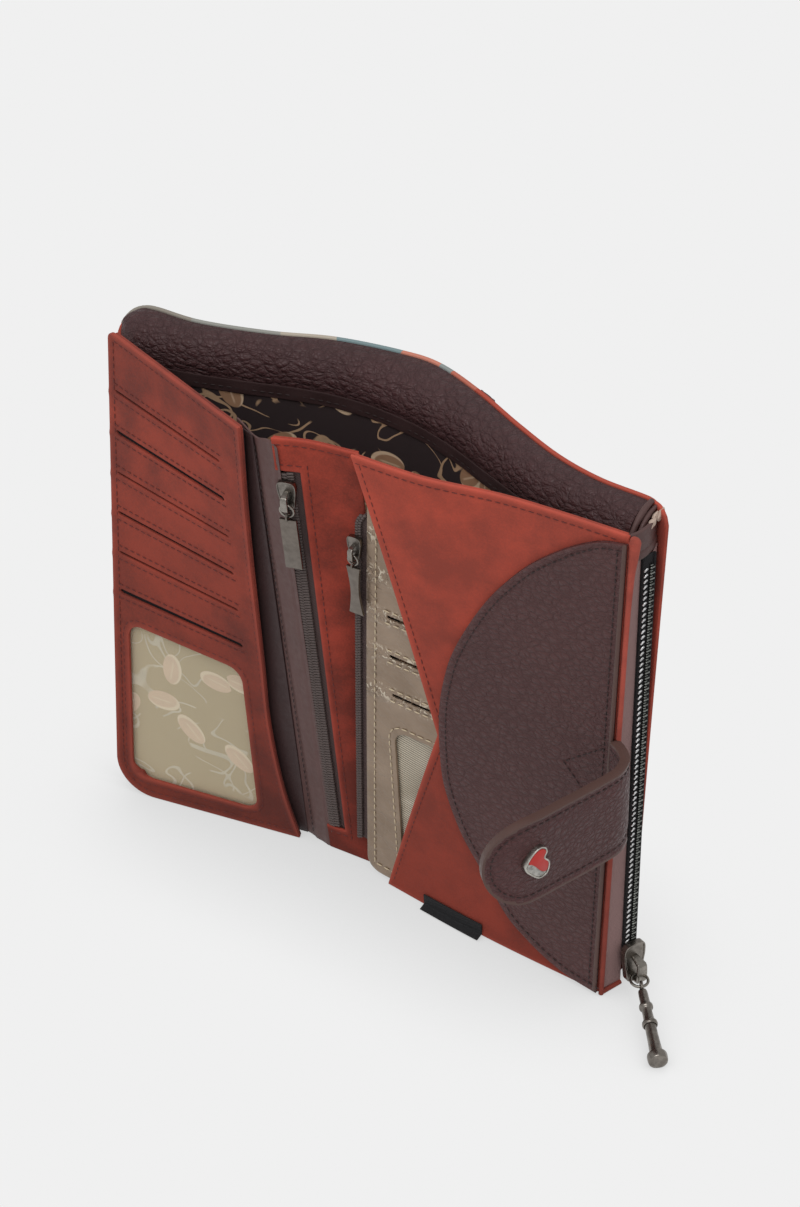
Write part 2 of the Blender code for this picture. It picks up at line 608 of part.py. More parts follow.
def build_right_half():
    right = right_wall.width - V_RIGHT_INSET
    v_cut = [(0, HEIGHT), (V_POINT, V_POINT_UP), (V_FOOT, FOOT_CLEARANCE), (right, FOOT_CLEARANCE),
             (right, HEIGHT)]
    sheet("v_cut_panel", right_wall, v_cut, 0, PANEL, RED)
    curve = [(right - share * ROUND_WIDTH, ROUND_FOOT + up * ROUND_HEIGHT) for share, up in ROUND_SHARES]
    sheet("round_panel", right_wall, smooth_outline(curve, ROUND_SEGMENTS), -GAP - LEATHER, LEATHER, BROWN)

    top = HEIGHT - METAL_TOP_DOWN
    far = METAL_SLOT_START + METAL_WIDTH
    corner = arc_corner(metal_left(METAL_CORNER) + METAL_CORNER, METAL_FOOT + METAL_CORNER, METAL_CORNER, 180)
    outline = corner + [(far, METAL_FOOT), (far, top), (metal_left(top), top)]
    slots = []
    for k in range(METAL_SLOT_COUNT):
        z = METAL_SLOT_FIRST + k * METAL_SLOT_PITCH
        slots.append(rectangle(METAL_SLOT_START, z - SLOT_GAPE / 2,
                               METAL_SLOT_START + SLOT_LENGTH, z + SLOT_GAPE / 2))
    left, foot = METAL_WINDOW_LEFT, METAL_WINDOW_FOOT
    window = rounded(left, foot, left + WINDOW_WIDTH, foot + WINDOW_HEIGHT, WINDOW_CORNER)
    sheet("metallic_panel", right_wall, outline, METAL_DEPTH, PANEL, BRONZE, slots + [window])
    film = rectangle(left - LAYER_INSET, foot - LAYER_INSET, left + WINDOW_WIDTH + LAYER_INSET,
                     foot + WINDOW_HEIGHT + LAYER_INSET)
    sheet("mesh_window", right_wall, film, METAL_FILM_DEPTH, FILM, CLEAR)
    backing = rectangle(INNER_START - GAP * 2, METAL_FOOT, far, top)
    sheet("right_pocket_backing", right_wall, backing, METAL_BACKING_DEPTH, CLOTH, BLACK)
    lining = rectangle(INNER_START, FOOT_CLEARANCE, right - LAYER_INSET, HEIGHT - LAYER_INSET / 2)
    sheet("right_front_lining", right_wall, lining, RIGHT_LINING_DEPTH, CLOTH, BLACK)

    low, high = SECOND_ZIP_FOOT, HEIGHT - SECOND_ZIP_TOP_DOWN

    def slanted(start, end, lift=0.0):
        return [(metal_left(low) + start, low + lift), (metal_left(low) + end, low + lift),
                (metal_left(high) + end, high - lift), (metal_left(high) + start, high - lift)]

    depth = METAL_DEPTH + PANEL + GAP
    tape = slanted(SECOND_COIL_CENTRE + TAPE_SLIT / 2, SECOND_TAPE_TUCK)
    sheet("second_zip_tape", right_wall, tape, depth, TAPE, BROWN)
    half = SECOND_COIL_WIDTH / 2
    sheet("second_zip_coil", right_wall, slanted(SECOND_COIL_CENTRE - half, SECOND_COIL_CENTRE + half, GAP),
          SECOND_COIL_DEPTH, depth - GAP - SECOND_COIL_DEPTH, BLACK)


def build_label():
    outline = rectangle(LABEL_LEFT, GAP, LABEL_LEFT + LABEL_WIDTH, LABEL_HEIGHT)
    sheet("woven_label", right_wall, outline, -GAP - LABEL_OUT, LABEL_OUT, BLACK)


def cover_grid(name, wall, first, last, low, high, depth, thickness, look, columns):
    """A piece of a wall between two side edges, each a u for every height."""
    rows = max(2, round((high - low) / PLAIN_STEPS[1]))
    bm = bmesh.new()
    verts = []
    for w in (depth, depth + thickness):
        face = []
        for r in range(rows + 1):
            z = low + (high - low) * r / rows
            a, b = first(z), last(z)
            face.append([bm.verts.new(wall.at(a + (b - a) * c / columns, z, w)) for c in range(columns + 1)])
        verts.append(face)
    front, back = verts
    for r in range(rows):
        for c in range(columns):
            bm.faces.new((front[r][c], front[r][c + 1], front[r + 1][c + 1], front[r + 1][c]))
            bm.faces.new((back[r][c], back[r + 1][c], back[r + 1][c + 1], back[r][c + 1]))
    for r in range(rows):
        for c in (0, columns):
            bm.faces.new((front[r][c], front[r + 1][c], back[r + 1][c], back[r][c]))
    for c in range(columns):
        for r in (0, rows):
            bm.faces.new((front[r][c], front[r][c + 1], back[r][c + 1], back[r][c]))
    return keep(name, bm, look)


def build_back_wall():
    """Printed lining at the back of the mouth, and the outer cover, both cut at the fold line."""
    for wall, low, high, depth, thickness, names, look, columns in (
            (lining_wall, FOOT_CLEARANCE, lining_wall.rise, 0, CLOTH,
             ("left_back_lining", "right_back_lining"), BLACK, LINING_COLUMNS),
            (cover_wall, 0.0, HEIGHT, -COVER, COVER, ("left_cover", "right_cover"), RED, COVER_COLUMNS)):
        def cut(z, side, wall=wall):
            return wall.across(fold_x(z) + side * GAP / 2, z)
        cover_grid(names[0], wall, lambda z: 0.0, lambda z, cut=cut: cut(z, -1), low, high, depth, thickness,
                   look, columns[0])
        cover_grid(names[1], wall, lambda z, cut=cut: cut(z, 1), lambda z, wall=wall: wall.width, low, high,
                   depth, thickness, look, columns[1])


def build_facing():
    """Pebbled leather roll that closes the top of the zip pocket, in a left and a right piece."""
    split = fold_x(HEIGHT)
    start = lining_wall.at(0, FACING_BOTTOM).x + GAP
    end = lining_wall.at(lining_wall.width, FACING_BOTTOM).x
    for name, left, right in (("left_facing", start, split - GAP / 2),
                              ("right_facing", split + GAP / 2, end)):
        bm = bmesh.new()
        outer, inner = [], []
        for c in range(FACING_STEPS + 1):
            x = left + (right - left) * c / FACING_STEPS
            near = lining_wall.at(lining_wall.across(x, FACING_BOTTOM), FACING_BOTTOM).y
            far = cover_wall.at(cover_wall.past_end(x, HEIGHT, -COVER), HEIGHT, -COVER - FACING_CLEARANCE).y
            rows = []
            for size in (1.0, 1 - FACING / (far - near)):
                row = []
                for k in range(FACING_STRIPS + 1):
                    a = math.pi / 2 * k / FACING_STRIPS
                    row.append(bm.verts.new((x, far - (far - near) * size * math.cos(a),
                                             FACING_BOTTOM + (FACING_DROP - (1 - size) * (far - near))
                                             * math.sin(a))))
                rows.append(row)
            outer.append(rows[0])
            inner.append(rows[1])
        for c in range(FACING_STEPS):
            for k in range(FACING_STRIPS):
                bm.faces.new((outer[c][k], outer[c + 1][k], outer[c + 1][k + 1], outer[c][k + 1]))
                bm.faces.new((inner[c][k], inner[c][k + 1], inner[c + 1][k + 1], inner[c + 1][k]))
            for k in (0, FACING_STRIPS):
                bm.faces.new((outer[c][k], outer[c + 1][k], inner[c + 1][k], inner[c][k]))
        for c in (0, FACING_STEPS):
            for k in range(FACING_STRIPS):
                bm.faces.new((outer[c][k], outer[c][k + 1], inner[c][k + 1], inner[c][k]))
        keep(name, bm, BROWN)


def build_base():
    """The turned-under base of the cover, which closes the foot of the zip pocket."""
    split = fold_x(0)
    start = lining_wall.at(LAYER_INSET, 0).x + LAYER_INSET
    end = cover_wall.at(cover_wall.width, 0).x - LAYER_INSET
    for name, left, right in (("left_base", start, split - GAP / 2), ("right_base", split + GAP / 2, end)):
        front, back = [], []
        for c in range(FACING_STEPS + 1):
            x = left + (right - left) * c / FACING_STEPS
            near = lining_wall.at(lining_wall.across(x, 0), 0, CLOTH + GAP).y
            far = cover_wall.at(cover_wall.past_end(x, 0, -COVER - GAP), 0, -COVER - GAP).y
            front.append((x, near))
            back.append((x, far))
        prism(name, front + back[::-1], Matrix(), 0, BASE, RED)


def tube(name, points, radius, sides, look):
    """A round cord of leather along straight runs."""
    bm = bmesh.new()
    rings = []
    for k, place in enumerate(points):
        way = (points[min(k + 1, len(points) - 1)] - points[max(k - 1, 0)]).normalized()
        side = way.cross(Vector((0, 1, 0))).normalized()
        up = way.cross(side)
        rings.append([bm.verts.new(place + radius * (math.cos(math.tau * j / sides) * side
                                                     + math.sin(math.tau * j / sides) * up))
                      for j in range(sides)])
    for ring, following in zip(rings, rings[1:]):
        for j in range(sides):
            i = (j + 1) % sides
            bm.faces.new((ring[j], following[j], following[i], ring[i]))
    bm.faces.new(rings[0])
    bm.faces.new(rings[-1])
    return keep(name, bm, look)


def side_frame(z):
    """A frame on the side zip: X across it to the back, Y up it, Z out of its face."""
    foot, top = plan(SIDE_CHAIN_FOOT_SHARE), plan(SIDE_CHAIN_TOP_SHARE, HEIGHT)
    up = (top - foot).normalized()
    across = Vector((math.cos(SIDE_HEADING), math.sin(SIDE_HEADING), 0))
    out = across.cross(up).normalized()
    across = up.cross(out)
    return Matrix.Translation(foot.lerp(top, z / HEIGHT)) @ Matrix((across, up, out)).transposed().to_4x4()


def ruled(name, left, right, thickness, look, rows=TAPE_ROWS):
    """A thin tape between two edges, each a place for every share of its height."""
    bm = bmesh.new()
    faces = []
    for offset in (0.0, thickness):
        face = []
        for r in range(rows + 1):
            a, b = left(r / rows), right(r / rows)
            way = (b - a).normalized()
            out = Vector((way.y, -way.x, 0)) * offset
            face.append([bm.verts.new(a - out), bm.verts.new(b - out)])
        faces.append(face)
    near, far = faces
    for r in range(rows):
        bm.faces.new((near[r][0], near[r][1], near[r + 1][1], near[r + 1][0]))
        bm.faces.new((far[r][0], far[r + 1][0], far[r + 1][1], far[r][1]))
        for c in (0, 1):
            bm.faces.new((near[r][c], near[r + 1][c], far[r + 1][c], far[r][c]))
    for r in (0, rows):
        bm.faces.new((near[r][0], near[r][1], far[r][1], far[r][0]))
    return keep(name, bm, look)


def build_side_zip():
    piping = []
    for k in range(PIPING_ROWS + 1):
        z = FOOT_CLEARANCE + (HEIGHT - FOOT_CLEARANCE - PANEL) * k / PIPING_ROWS
        piping.append(right_wall.at(right_wall.width + PIPING_OUT, z, PIPING_BACK))
    tube("edge_piping", piping, PIPING_RADIUS, PIPING_SIDES, RED)

    base = side_frame(0)
    half = SIDE_CHAIN_WIDTH / 2
    low, high = SIDE_TAPE_LOW, HEIGHT - SIDE_TAB_RISE - GAP

    def chain_edge(share, across):
        return base @ Vector((across, low + (high - low) * share, -SIDE_CHAIN_THICKNESS / 2))

    def front_edge(share):
        z = low + (high - low) * share
        return right_wall.at(right_wall.width + PIPING_OUT, z, PIPING_BACK + PIPING_RADIUS + GAP)

    def back_edge(share):
        z = low + (high - low) * share
        return cover_wall.at(cover_wall.width - COVER - GAP, z, -COVER - GAP)

    ruled("side_zip_tape_front", front_edge, lambda s: chain_edge(s, -half - GAP), TAPE, BROWN)
    ruled("side_zip_tape_back", lambda s: chain_edge(s, half + GAP), back_edge, TAPE, BROWN)
    for name, side in (("side_zip_teeth_front", -1), ("side_zip_teeth_back", 1)):
        spine, reach = side * half, side * GAP / 2
        root = reach + (spine - reach) * SIDE_TOOTH_SHARE
        count = int((SIDE_CHAIN_HIGH - SIDE_CHAIN_LOW) / SIDE_PITCH)
        teeth = [(spine, SIDE_CHAIN_LOW)]
        for k in range(count):
            z = SIDE_CHAIN_LOW + k * SIDE_PITCH
            teeth += [(root, z), (reach, z + SIDE_PITCH / 2)]
        teeth += [(root, SIDE_CHAIN_LOW + count * SIDE_PITCH), (spine, SIDE_CHAIN_LOW + count * SIDE_PITCH)]
        prism(name, teeth, base, -SIDE_CHAIN_THICKNESS / 2, SIDE_CHAIN_THICKNESS / 2, METAL)


def build_end_tabs():
    """Leather tab over the top end of the side zip."""
    low, high = HEIGHT - SIDE_TAB_RISE, HEIGHT - SIDE_TAB_RISE + SIDE_TAB_HEIGHT
    near = right_wall.at(right_wall.width + PIPING_OUT, high, PIPING_BACK + PIPING_RADIUS + GAP)
    far = cover_wall.at(cover_wall.width - COVER - LEATHER, high, -COVER - 2 * GAP)
    crown = side_frame(high) @ Vector((0, 0, LEATHER))

    bm = bmesh.new()
    steps = TAB_STEPS
    rows = []
    for z in (low, high):
        for offset in (0.0, LEATHER):
            row = []
            for k in range(steps + 1):
                t = k / steps
                p = near.lerp(crown, t).lerp(crown.lerp(far, t), t)
                way = (crown - near).lerp(far - crown, t).normalized()
                row.append(bm.verts.new((p.x - way.y * offset, p.y + way.x * offset, z)))
            rows.append(row)
    for a, b in ((0, 1), (1, 3), (3, 2), (2, 0)):
        for k in range(steps):
            bm.faces.new((rows[a][k], rows[a][k + 1], rows[b][k + 1], rows[b][k]))
    for k in (0, steps):
        bm.faces.new((rows[0][k], rows[1][k], rows[3][k], rows[2][k]))
    keep("side_zip_top_tab", bm, BROWN)


def slider_body(prefix, place, scale):
    """A zip slider with its bridge; gives the ring's place under the bridge, out and along."""
    half, shoulder = SLIDER_WIDTH * scale / 2, SLIDER_LENGTH * scale / 2
    outline = [(a * half, (b + SLIDER_SHIFT_SHARE) * shoulder) for a, b in SLIDER_SHARES]
    plate_top = SLIDER_RISE + SLIDER_PLATE * scale
    body = prism(prefix + "_slider", outline, place, SLIDER_RISE, plate_top, METAL)
    reach, rise, wire = BRIDGE_LENGTH * scale / 2, BRIDGE_HEIGHT * scale, BRIDGE_WIRE * scale
    knee, bend = reach * BRIDGE_KNEE_SHARE, rise * BRIDGE_BEND_SHARE
    crown = reach * BRIDGE_CROWN_SHARE
    over = [(reach, -BRIDGE_SINK), (knee, bend), (crown, rise)]
    under = [(reach - wire, -BRIDGE_SINK), (knee - wire, bend - wire), (crown, rise - wire)]
    arch = [(-x, y) for x, y in over] + over[::-1] + under + [(-x, y) for x, y in under[::-1]]
    turned = place @ Matrix.Translation((0, 0, plate_top)) @ SIDEWAYS
    half_wide = BRIDGE_WIDTH * scale / 2
    union(body, prism(prefix + "_bridge_cut", arch, turned, -half_wide, half_wide, METAL))
    return plate_top + (rise - wire) / 2, -knee + wire + RING_WIRE * scale + GAP


def pivot(name, place, axis, names, parent=None):
    """An empty on a joint's axis, with its Z along it, which carries the pieces that move with it."""
    basis = Matrix.Translation(place) @ axis.to_track_quat("Z", "Y").to_matrix().to_4x4()
    carrier = bpy.data.objects.new(name, None)
    bpy.context.collection.objects.link(carrier)
    carrier.empty_display_size = SLIDER_LENGTH
    carrier.matrix_basis = basis
    if parent:
        carrier.parent = parent
        carrier.matrix_parent_inverse = parent.matrix_basis.inverted()
    for item in names:
        bpy.data.objects[item].parent = carrier
        bpy.data.objects[item].matrix_parent_inverse = basis.inverted()
    return carrier


def slider(prefix, place, scale, tag_outline, way):
    """A slider that runs along a way, with the ring and the flat tag that hang from it."""
    out, hang = slider_body(prefix, place, scale)
    centre = Vector((0, hang - RING_RADIUS * scale, out))
    bm = bmesh.new()
    torus(bm, place @ Matrix.Translation(centre), RING_RADIUS * scale, RING_WIRE * scale)
    keep(prefix + "_ring", bm, METAL)

    eye = centre - Vector((0, RING_RADIUS * scale, 0))
    bm = bmesh.new()
    torus(bm, place @ Matrix.Translation(eye) @ Matrix.Rotation(math.pi / 2, 4, "Y"), EYE_RADIUS * scale,
          EYE_WIRE * scale)
    tag_eye = keep(prefix + "_eye_cut", bm, METAL)
    placed = place @ Matrix.Translation((0, eye.y - EYE_RADIUS * scale, out - TAG_THICKNESS / 2))
    union(prism(prefix + "_tag", tag_outline, placed, 0, TAG_THICKNESS, METAL), tag_eye)
    across = -place.col[0].xyz
    run = pivot(prefix + "_slider_run", place.translation, -way.normalized(), [prefix + "_slider"])
    swing = pivot(prefix + "_ring_swing", place @ Vector((0, hang, out)), across, [prefix + "_ring"], run)
    pivot(prefix + "_tag_swing", place @ eye, across, [prefix + "_tag"], swing)


def build_sliders():
    z = HEIGHT - COIN_SLIDER_DOWN
    half = COIN_TAG_WIDTH / 2
    tag = [(-half, -COIN_TAG_LENGTH), (half, -COIN_TAG_LENGTH), (half, 0), (-half, 0)]
    place = centre_wall.frame(COIN_COIL_CENTRE, HEIGHT / 2, -GAP)
    place.translation = centre_wall.at(COIN_COIL_CENTRE, z, -GAP)
    way = place.translation - centre_wall.at(COIN_COIL_CENTRE, HEIGHT / 2, -GAP)
    slider("coin_zip", place, 1.0, tag, way)

    z = HEIGHT - SECOND_SLIDER_DOWN
    half, waist = SECOND_TAG_WIDTH / 2, SECOND_TAG_WIDTH * SECOND_TAG_WAIST_SHARE / 2
    length = SECOND_TAG_LENGTH
    right_side = [(half, -length), (waist, -length * SECOND_TAG_WAIST_SHARES[0]),
                  (waist, -length * SECOND_TAG_WAIST_SHARES[1]), (half * SECOND_TAG_TOP_SHARE, 0)]
    tag = right_side + [(-x, y) for x, y in reversed(right_side)]
    place = right_wall.frame(metal_left(z) + SECOND_COIL_CENTRE, z, SECOND_COIL_DEPTH)
    low = SECOND_ZIP_FOOT
    way = place.translation - right_wall.at(metal_left(low) + SECOND_COIL_CENTRE, low, SECOND_COIL_DEPTH)
    slider("second_zip", place, SECOND_SCALE_SHARE, tag, way)


def build_side_slider():
    scale = SIDE_SCALE_SHARE
    place = side_frame(SIDE_SLIDER_UP) @ Matrix.Translation((0, 0, SIDE_CHAIN_THICKNESS / 2))
    out, hang = slider_body("side_zip", place, scale)
    start = place @ Vector((0, hang, out))
    link, flat = laid(LINK_HEADING)
    bm = bmesh.new()
    torus(bm, Matrix.Translation(start + link * LINK_RADIUS) @ flat, LINK_RADIUS, LINK_WIRE)
    keep("side_zip_link", bm, METAL)

    eye = start + link * 2 * LINK_RADIUS
    pull, flat = laid(PULL_HEADING)
    eye_radius = EYE_RADIUS * PULL_EYE_SHARE
    bm = bmesh.new()
    torus(bm, Matrix.Translation(eye) @ flat @ Matrix.Rotation(math.pi / 2, 4, "X"), eye_radius,
          EYE_WIRE * PULL_EYE_SHARE)
    ring = keep("side_pull_eye_cut", bm, METAL)
    bm = bmesh.new()
    profile = [(eye_radius + share * PULL_LENGTH, size * PULL_RADIUS) for share, size in PULL_PROFILE_SHARES]
    lathe(bm, Matrix.Translation(eye) @ flat, profile)
    union(keep("side_zip_pull", bm, METAL), ring)
    run = pivot("side_zip_slider_run", place.translation, place.col[1].xyz, ["side_zip_slider"])
    swing = pivot("side_zip_link_swing", start, Vector((link.y, -link.x, 0)), ["side_zip_link"], run)
    pivot("side_zip_pull_swing", eye, Vector((pull.y, -pull.x, 0)), ["side_zip_pull"], swing)


def laid(heading):
    """The way of a piece that droops at a heading, and a frame with X along it and Y level."""
    way = Vector((math.cos(heading) * math.cos(PULL_DROOP), math.sin(heading) * math.cos(PULL_DROOP),
                  -math.sin(PULL_DROOP)))
    side = Vector((-math.sin(heading), math.cos(heading), 0))
    return way, Matrix((way, side, way.cross(side))).transposed().to_4x4()


class Strap:
    """The strap's line in plan, with faces at a distance from its middle."""

    steps = (STRAP_STEP, STRAP_WIDTH)

    def __init__(self):
        self.line = Line(STRAP_SHARES)

    def at(self, u, z, w):
        place, way = self.line.at(u / self.line.length)
        return Vector((place.x - way.y * w, place.y + way.x * w, z))

    def frame(self, u, z, w):
        place, way = self.at(u, z, w), self.line.at(u / self.line.length)[1]
        turn = Matrix(((-way.x, -way.y, 0), (0, 0, 1), (-way.y, way.x, 0))).transposed()
        return Matrix.Translation(place) @ turn.to_4x4()


def snap_disc():
    turns = [math.tau * k / SNAP_FACETS for k in range(SNAP_FACETS)]
    return [(SOCKET_RADIUS * math.cos(turn), SOCKET_RADIUS * math.sin(turn)) for turn in turns]


def build_strap():
    strap = Strap()
    length, half = strap.line.length, STRAP_WIDTH / 2
    tip = length - half
    angles = [math.pi * (k / STRAP_TIP_STEPS - 0.5) for k in range(STRAP_TIP_STEPS + 1)]
    outline = [(0.0, STRAP_MIDDLE - half)]
    outline += [(tip + half * math.cos(a), STRAP_MIDDLE + half * math.sin(a)) for a in angles]
    outline += [(0.0, STRAP_MIDDLE + half)]
    sheet("strap_outer", strap, outline, -LEATHER, LEATHER, BROWN)
    sheet("strap_lining", strap, outline, -STRAP_GAP - 2 * LEATHER, LEATHER, BROWN)

    u = length - SNAP_FROM_TIP
    heart = [(y * HEART_LENGTH, x * HEART_WIDTH) for x, y in HEART_SHARES]
    heart += [(x, -y) for x, y in reversed(heart[1:-1])]
    face = strap.frame(u, STRAP_MIDDLE + HEART_UP, SNAP_GAP) @ Matrix.Rotation(HEART_TURN, 4, "Z")
    prism("snap_cap", heart, face, 0, HEART_THICKNESS, METAL)
    inlay = [(x * HEART_INLAY_SHARE, y * HEART_INLAY_SHARE) for x, y in heart]
    prism("snap_cap_enamel", inlay, face, HEART_THICKNESS + INLAY_GAP, HEART_THICKNESS + HEART_INLAY, ENAMEL)
    back = strap.frame(u, STRAP_MIDDLE, -STRAP_GAP - 2 * LEATHER - SNAP_GAP)
    prism("snap_socket", snap_disc(), back, -SOCKET_THICKNESS, 0, METAL)


def strap_pivot():
    names = ["strap_outer", "strap_lining", "snap_cap", "snap_cap_enamel", "snap_socket"]
    pivot("strap_hinge", Strap().at(0, 0, -2 * LEATHER - STRAP_GAP), Vector((0, 0, 1)), names)


def fold_pivot():
    """The fold line of the wallet, which the left half turns about."""
    foot, top = plan(FOLD_FOOT_SHARE), plan(FOLD_TOP_SHARE, HEIGHT)
    names = ["card_panel", "card_window_film", "card_pocket_backing", "left_front_lining", "left_back_lining",
             "left_facing", "left_cover", "left_base", "snap_stud"]
    pivot("fold_line", foot, (top - foot).normalized(), names)


def build_cover_trim():
    """Snap stud on the left cover's outside, and a leather tab on the right cover's top edge."""
    u = cover_wall.at_fold(STUD_UP) - STUD_FROM_FOLD
    place = cover_wall.frame(u, STUD_UP, GAP * 2)
    prism("snap_stud", snap_disc(), place, -SOCKET_THICKNESS, 0, METAL)
    u = cover_wall.at_fold(HEIGHT) + TAB_FROM_FOLD
    top = HEIGHT - TAB_TOP_DOWN
    outline = rectangle(u, top - TAB_HEIGHT, u + TAB_WIDTH, top)
    sheet("cover_tab", cover_wall, outline, GAP, LEATHER, BROWN)


def main():
    clear_scene()
    build_left_half()
    build_gusset()
    build_middle()
    build_right_half()
    build_label()
    build_back_wall()
    build_facing()
    build_base()
    build_side_zip()
    build_end_tabs()
    build_sliders()
    build_side_slider()
    build_strap()
    build_cover_trim()
    strap_pivot()
    fold_pivot()


main()
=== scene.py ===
"""A folding leather wallet, opened about half way and standing on its lower edge.

Every leather and cloth piece is cut flat, in u along its wall and z up it, and is
then laid on the wall, whose top and foot follow their own lines in plan. The
depth w counts from a wall's photographed face to its back.
"""
import math

import bpy
import numpy as np
from mathutils import Matrix, Vector


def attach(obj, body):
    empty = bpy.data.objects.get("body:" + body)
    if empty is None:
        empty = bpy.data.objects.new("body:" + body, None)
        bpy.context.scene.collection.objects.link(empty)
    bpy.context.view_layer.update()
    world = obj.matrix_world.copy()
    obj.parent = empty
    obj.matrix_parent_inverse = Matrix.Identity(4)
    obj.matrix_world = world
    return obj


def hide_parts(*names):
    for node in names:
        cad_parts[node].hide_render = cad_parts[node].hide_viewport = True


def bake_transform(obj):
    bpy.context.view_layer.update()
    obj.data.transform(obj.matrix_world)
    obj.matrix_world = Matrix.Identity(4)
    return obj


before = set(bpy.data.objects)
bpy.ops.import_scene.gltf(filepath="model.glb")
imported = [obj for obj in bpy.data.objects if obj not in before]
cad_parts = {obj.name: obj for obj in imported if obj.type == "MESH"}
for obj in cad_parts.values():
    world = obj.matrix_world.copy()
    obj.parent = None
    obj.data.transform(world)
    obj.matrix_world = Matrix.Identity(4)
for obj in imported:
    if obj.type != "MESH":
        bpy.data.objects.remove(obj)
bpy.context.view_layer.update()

MM = 0.001

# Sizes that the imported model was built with
HEIGHT = 195 * MM
HALF_SPAN = 102.7 * MM
MOUTH = 68 * MM
ORIGIN_SHARE = 0.31
GAP = 0.4 * MM
FACING_BOTTOM = 182 * MM
FACING_RISE = 13 * MM
FOOT = 0.4 * MM
PANEL, COVER, FACING = 1.0 * MM, 1.4 * MM, 1.2 * MM
CLOTH, TAPE, FILM = 0.6 * MM, 0.5 * MM, 0.3 * MM
THREAD_DEPTH, HEM_DEPTH = -0.05 * MM, 0.9 * MM
WINDOW_CORNER = 6 * MM

CARD_TOP = ((-1.000, 0.000), (-0.317, -0.319))
CARD_FOOT = ((-1.005, -0.087), (-0.318, 0.126))
GUSSET_TOP = ((-0.375, -0.222), (-0.285, -0.256), (-0.211, -0.291))
GUSSET_FOOT = ((-0.350, 0.193), (-0.285, 0.184), (-0.212, 0.158))
CENTRE_TOP = ((-0.204, -0.293), (-0.088, -0.217), (0.060, -0.171), (0.112, -0.140))
CENTRE_FOOT = ((-0.205, 0.157), (0.021, 0.178), (0.060, 0.184), (0.090, 0.188))
RIGHT_TOP = ((0.060, -0.197), (0.312, -0.165), (0.571, -0.071), (0.810, -0.025), (1.000, 0.000))
RIGHT_FOOT = ((0.049, 0.088), (0.495, 0.022), (0.982, -0.004))
LINING_TOP = (
    (-0.985, 0.070), (-0.780, 0.130), (-0.585, 0.232), (-0.370, 0.356), (-0.195, 0.415), (0.000, 0.416),
    (0.175, 0.368), (0.390, 0.262), (0.585, 0.169), (0.780, 0.122), (0.965, 0.104))
LINING_FOOT = (
    (-0.995, -0.015), (-0.585, 0.118), (-0.330, 0.219), (-0.205, 0.242), (0.020, 0.258), (0.140, 0.245),
    (0.300, 0.190), (0.495, 0.145), (0.960, 0.104))
COVER_TOP = (
    (-1.007, 0.070), (-1.033, 0.160), (-1.021, 0.262), (-0.950, 0.302), (-0.785, 0.330), (-0.561, 0.447),
    (-0.365, 0.587), (-0.148, 0.674), (0.002, 0.691), (0.195, 0.607), (0.406, 0.476), (0.604, 0.369),
    (0.780, 0.322), (0.970, 0.322), (1.045, 0.268))
COVER_FOOT = (
    (-1.010, 0.000), (-1.030, 0.070), (-1.005, 0.150), (-0.930, 0.178), (-0.780, 0.214), (-0.560, 0.290),
    (-0.360, 0.360), (-0.150, 0.385), (0.000, 0.380), (0.195, 0.345), (0.400, 0.305), (0.600, 0.280),
    (0.780, 0.270), (0.930, 0.265), (0.985, 0.257))
STRAP_LINE = (
    (1.006, -0.008), (1.020, -0.019), (1.039, -0.034), (1.071, -0.072), (1.092, -0.116), (1.103, -0.204),
    (1.091, -0.301), (1.047, -0.537), (0.992, -0.790), (0.903, -0.947))
FOLD_FOOT = (-0.263, 0.132)
FOLD_TOP = (0.058, 0.397)
HALF_TURN = Matrix.Rotation(math.pi, 4, "Y")

# Camera
AIM = Vector((-8.79 * MM, 15.54 * MM, 97.5 * MM))
AZIMUTH = math.radians(34.64)
ELEVATION = math.radians(37)
DISTANCE = 1.5517
LENS = 36 * 4500 / 1207


# ---------------------------------------------------------------- lines and walls

def plan(pair, z=0.0):
    return Vector((pair[0] * HALF_SPAN, (pair[1] - ORIGIN_SHARE) * MOUTH, z))


def smooth_points(points, segments, closed=False):
    """Points on a smooth curve through given ones, which comes round to the first if it is closed."""
    points = [np.array(point, float) for point in points]
    if closed:
        ends = [points[-1], *points, *points[:2]]
    else:
        ends = [2 * points[0] - points[1], *points, 2 * points[-1] - points[-2]]
    dots = [points[0]]
    for a, b, c, d in zip(ends, ends[1:], ends[2:], ends[3:]):
        for k in range(1, segments + 1):
            t = k / segments
            dots.append(0.5 * ((2 * b) + (c - a) * t + (2 * a - 5 * b + 4 * c - d) * t ** 2
                               + (3 * b - a - 3 * c + d) * t ** 3))
    return np.array(dots[:-1] if closed else dots)


def matched(*values):
    """Numbers or arrays, brought to one shape."""
    return np.broadcast_arrays(*(np.asarray(value, float) for value in values))


class Line:
    """A smooth line in plan through given points, walked by its length."""

    SAMPLES = 16
    REACH = 30 * MM

    def __init__(self, shares):
        dots = smooth_points([plan(pair).xy for pair in shares], self.SAMPLES)
        marks = np.concatenate(([0.0], np.cumsum(np.linalg.norm(np.diff(dots, axis=0), axis=1))))
        ways = np.gradient(dots, axis=0)
        ways /= np.linalg.norm(ways, axis=1)[:, None]
        self.length = marks[-1]
        self.dots = np.vstack((dots[0] - ways[0] * self.REACH, dots, dots[-1] + ways[-1] * self.REACH))
        self.marks = np.concatenate(([-self.REACH], marks, [self.length + self.REACH]))
        self.ways = np.vstack((ways[0], ways, ways[-1]))

    def at(self, along):
        return (np.stack([np.interp(along, self.marks, self.dots[:, k]) for k in (0, 1)], -1),
                np.stack([np.interp(along, self.marks, self.ways[:, k]) for k in (0, 1)], -1))


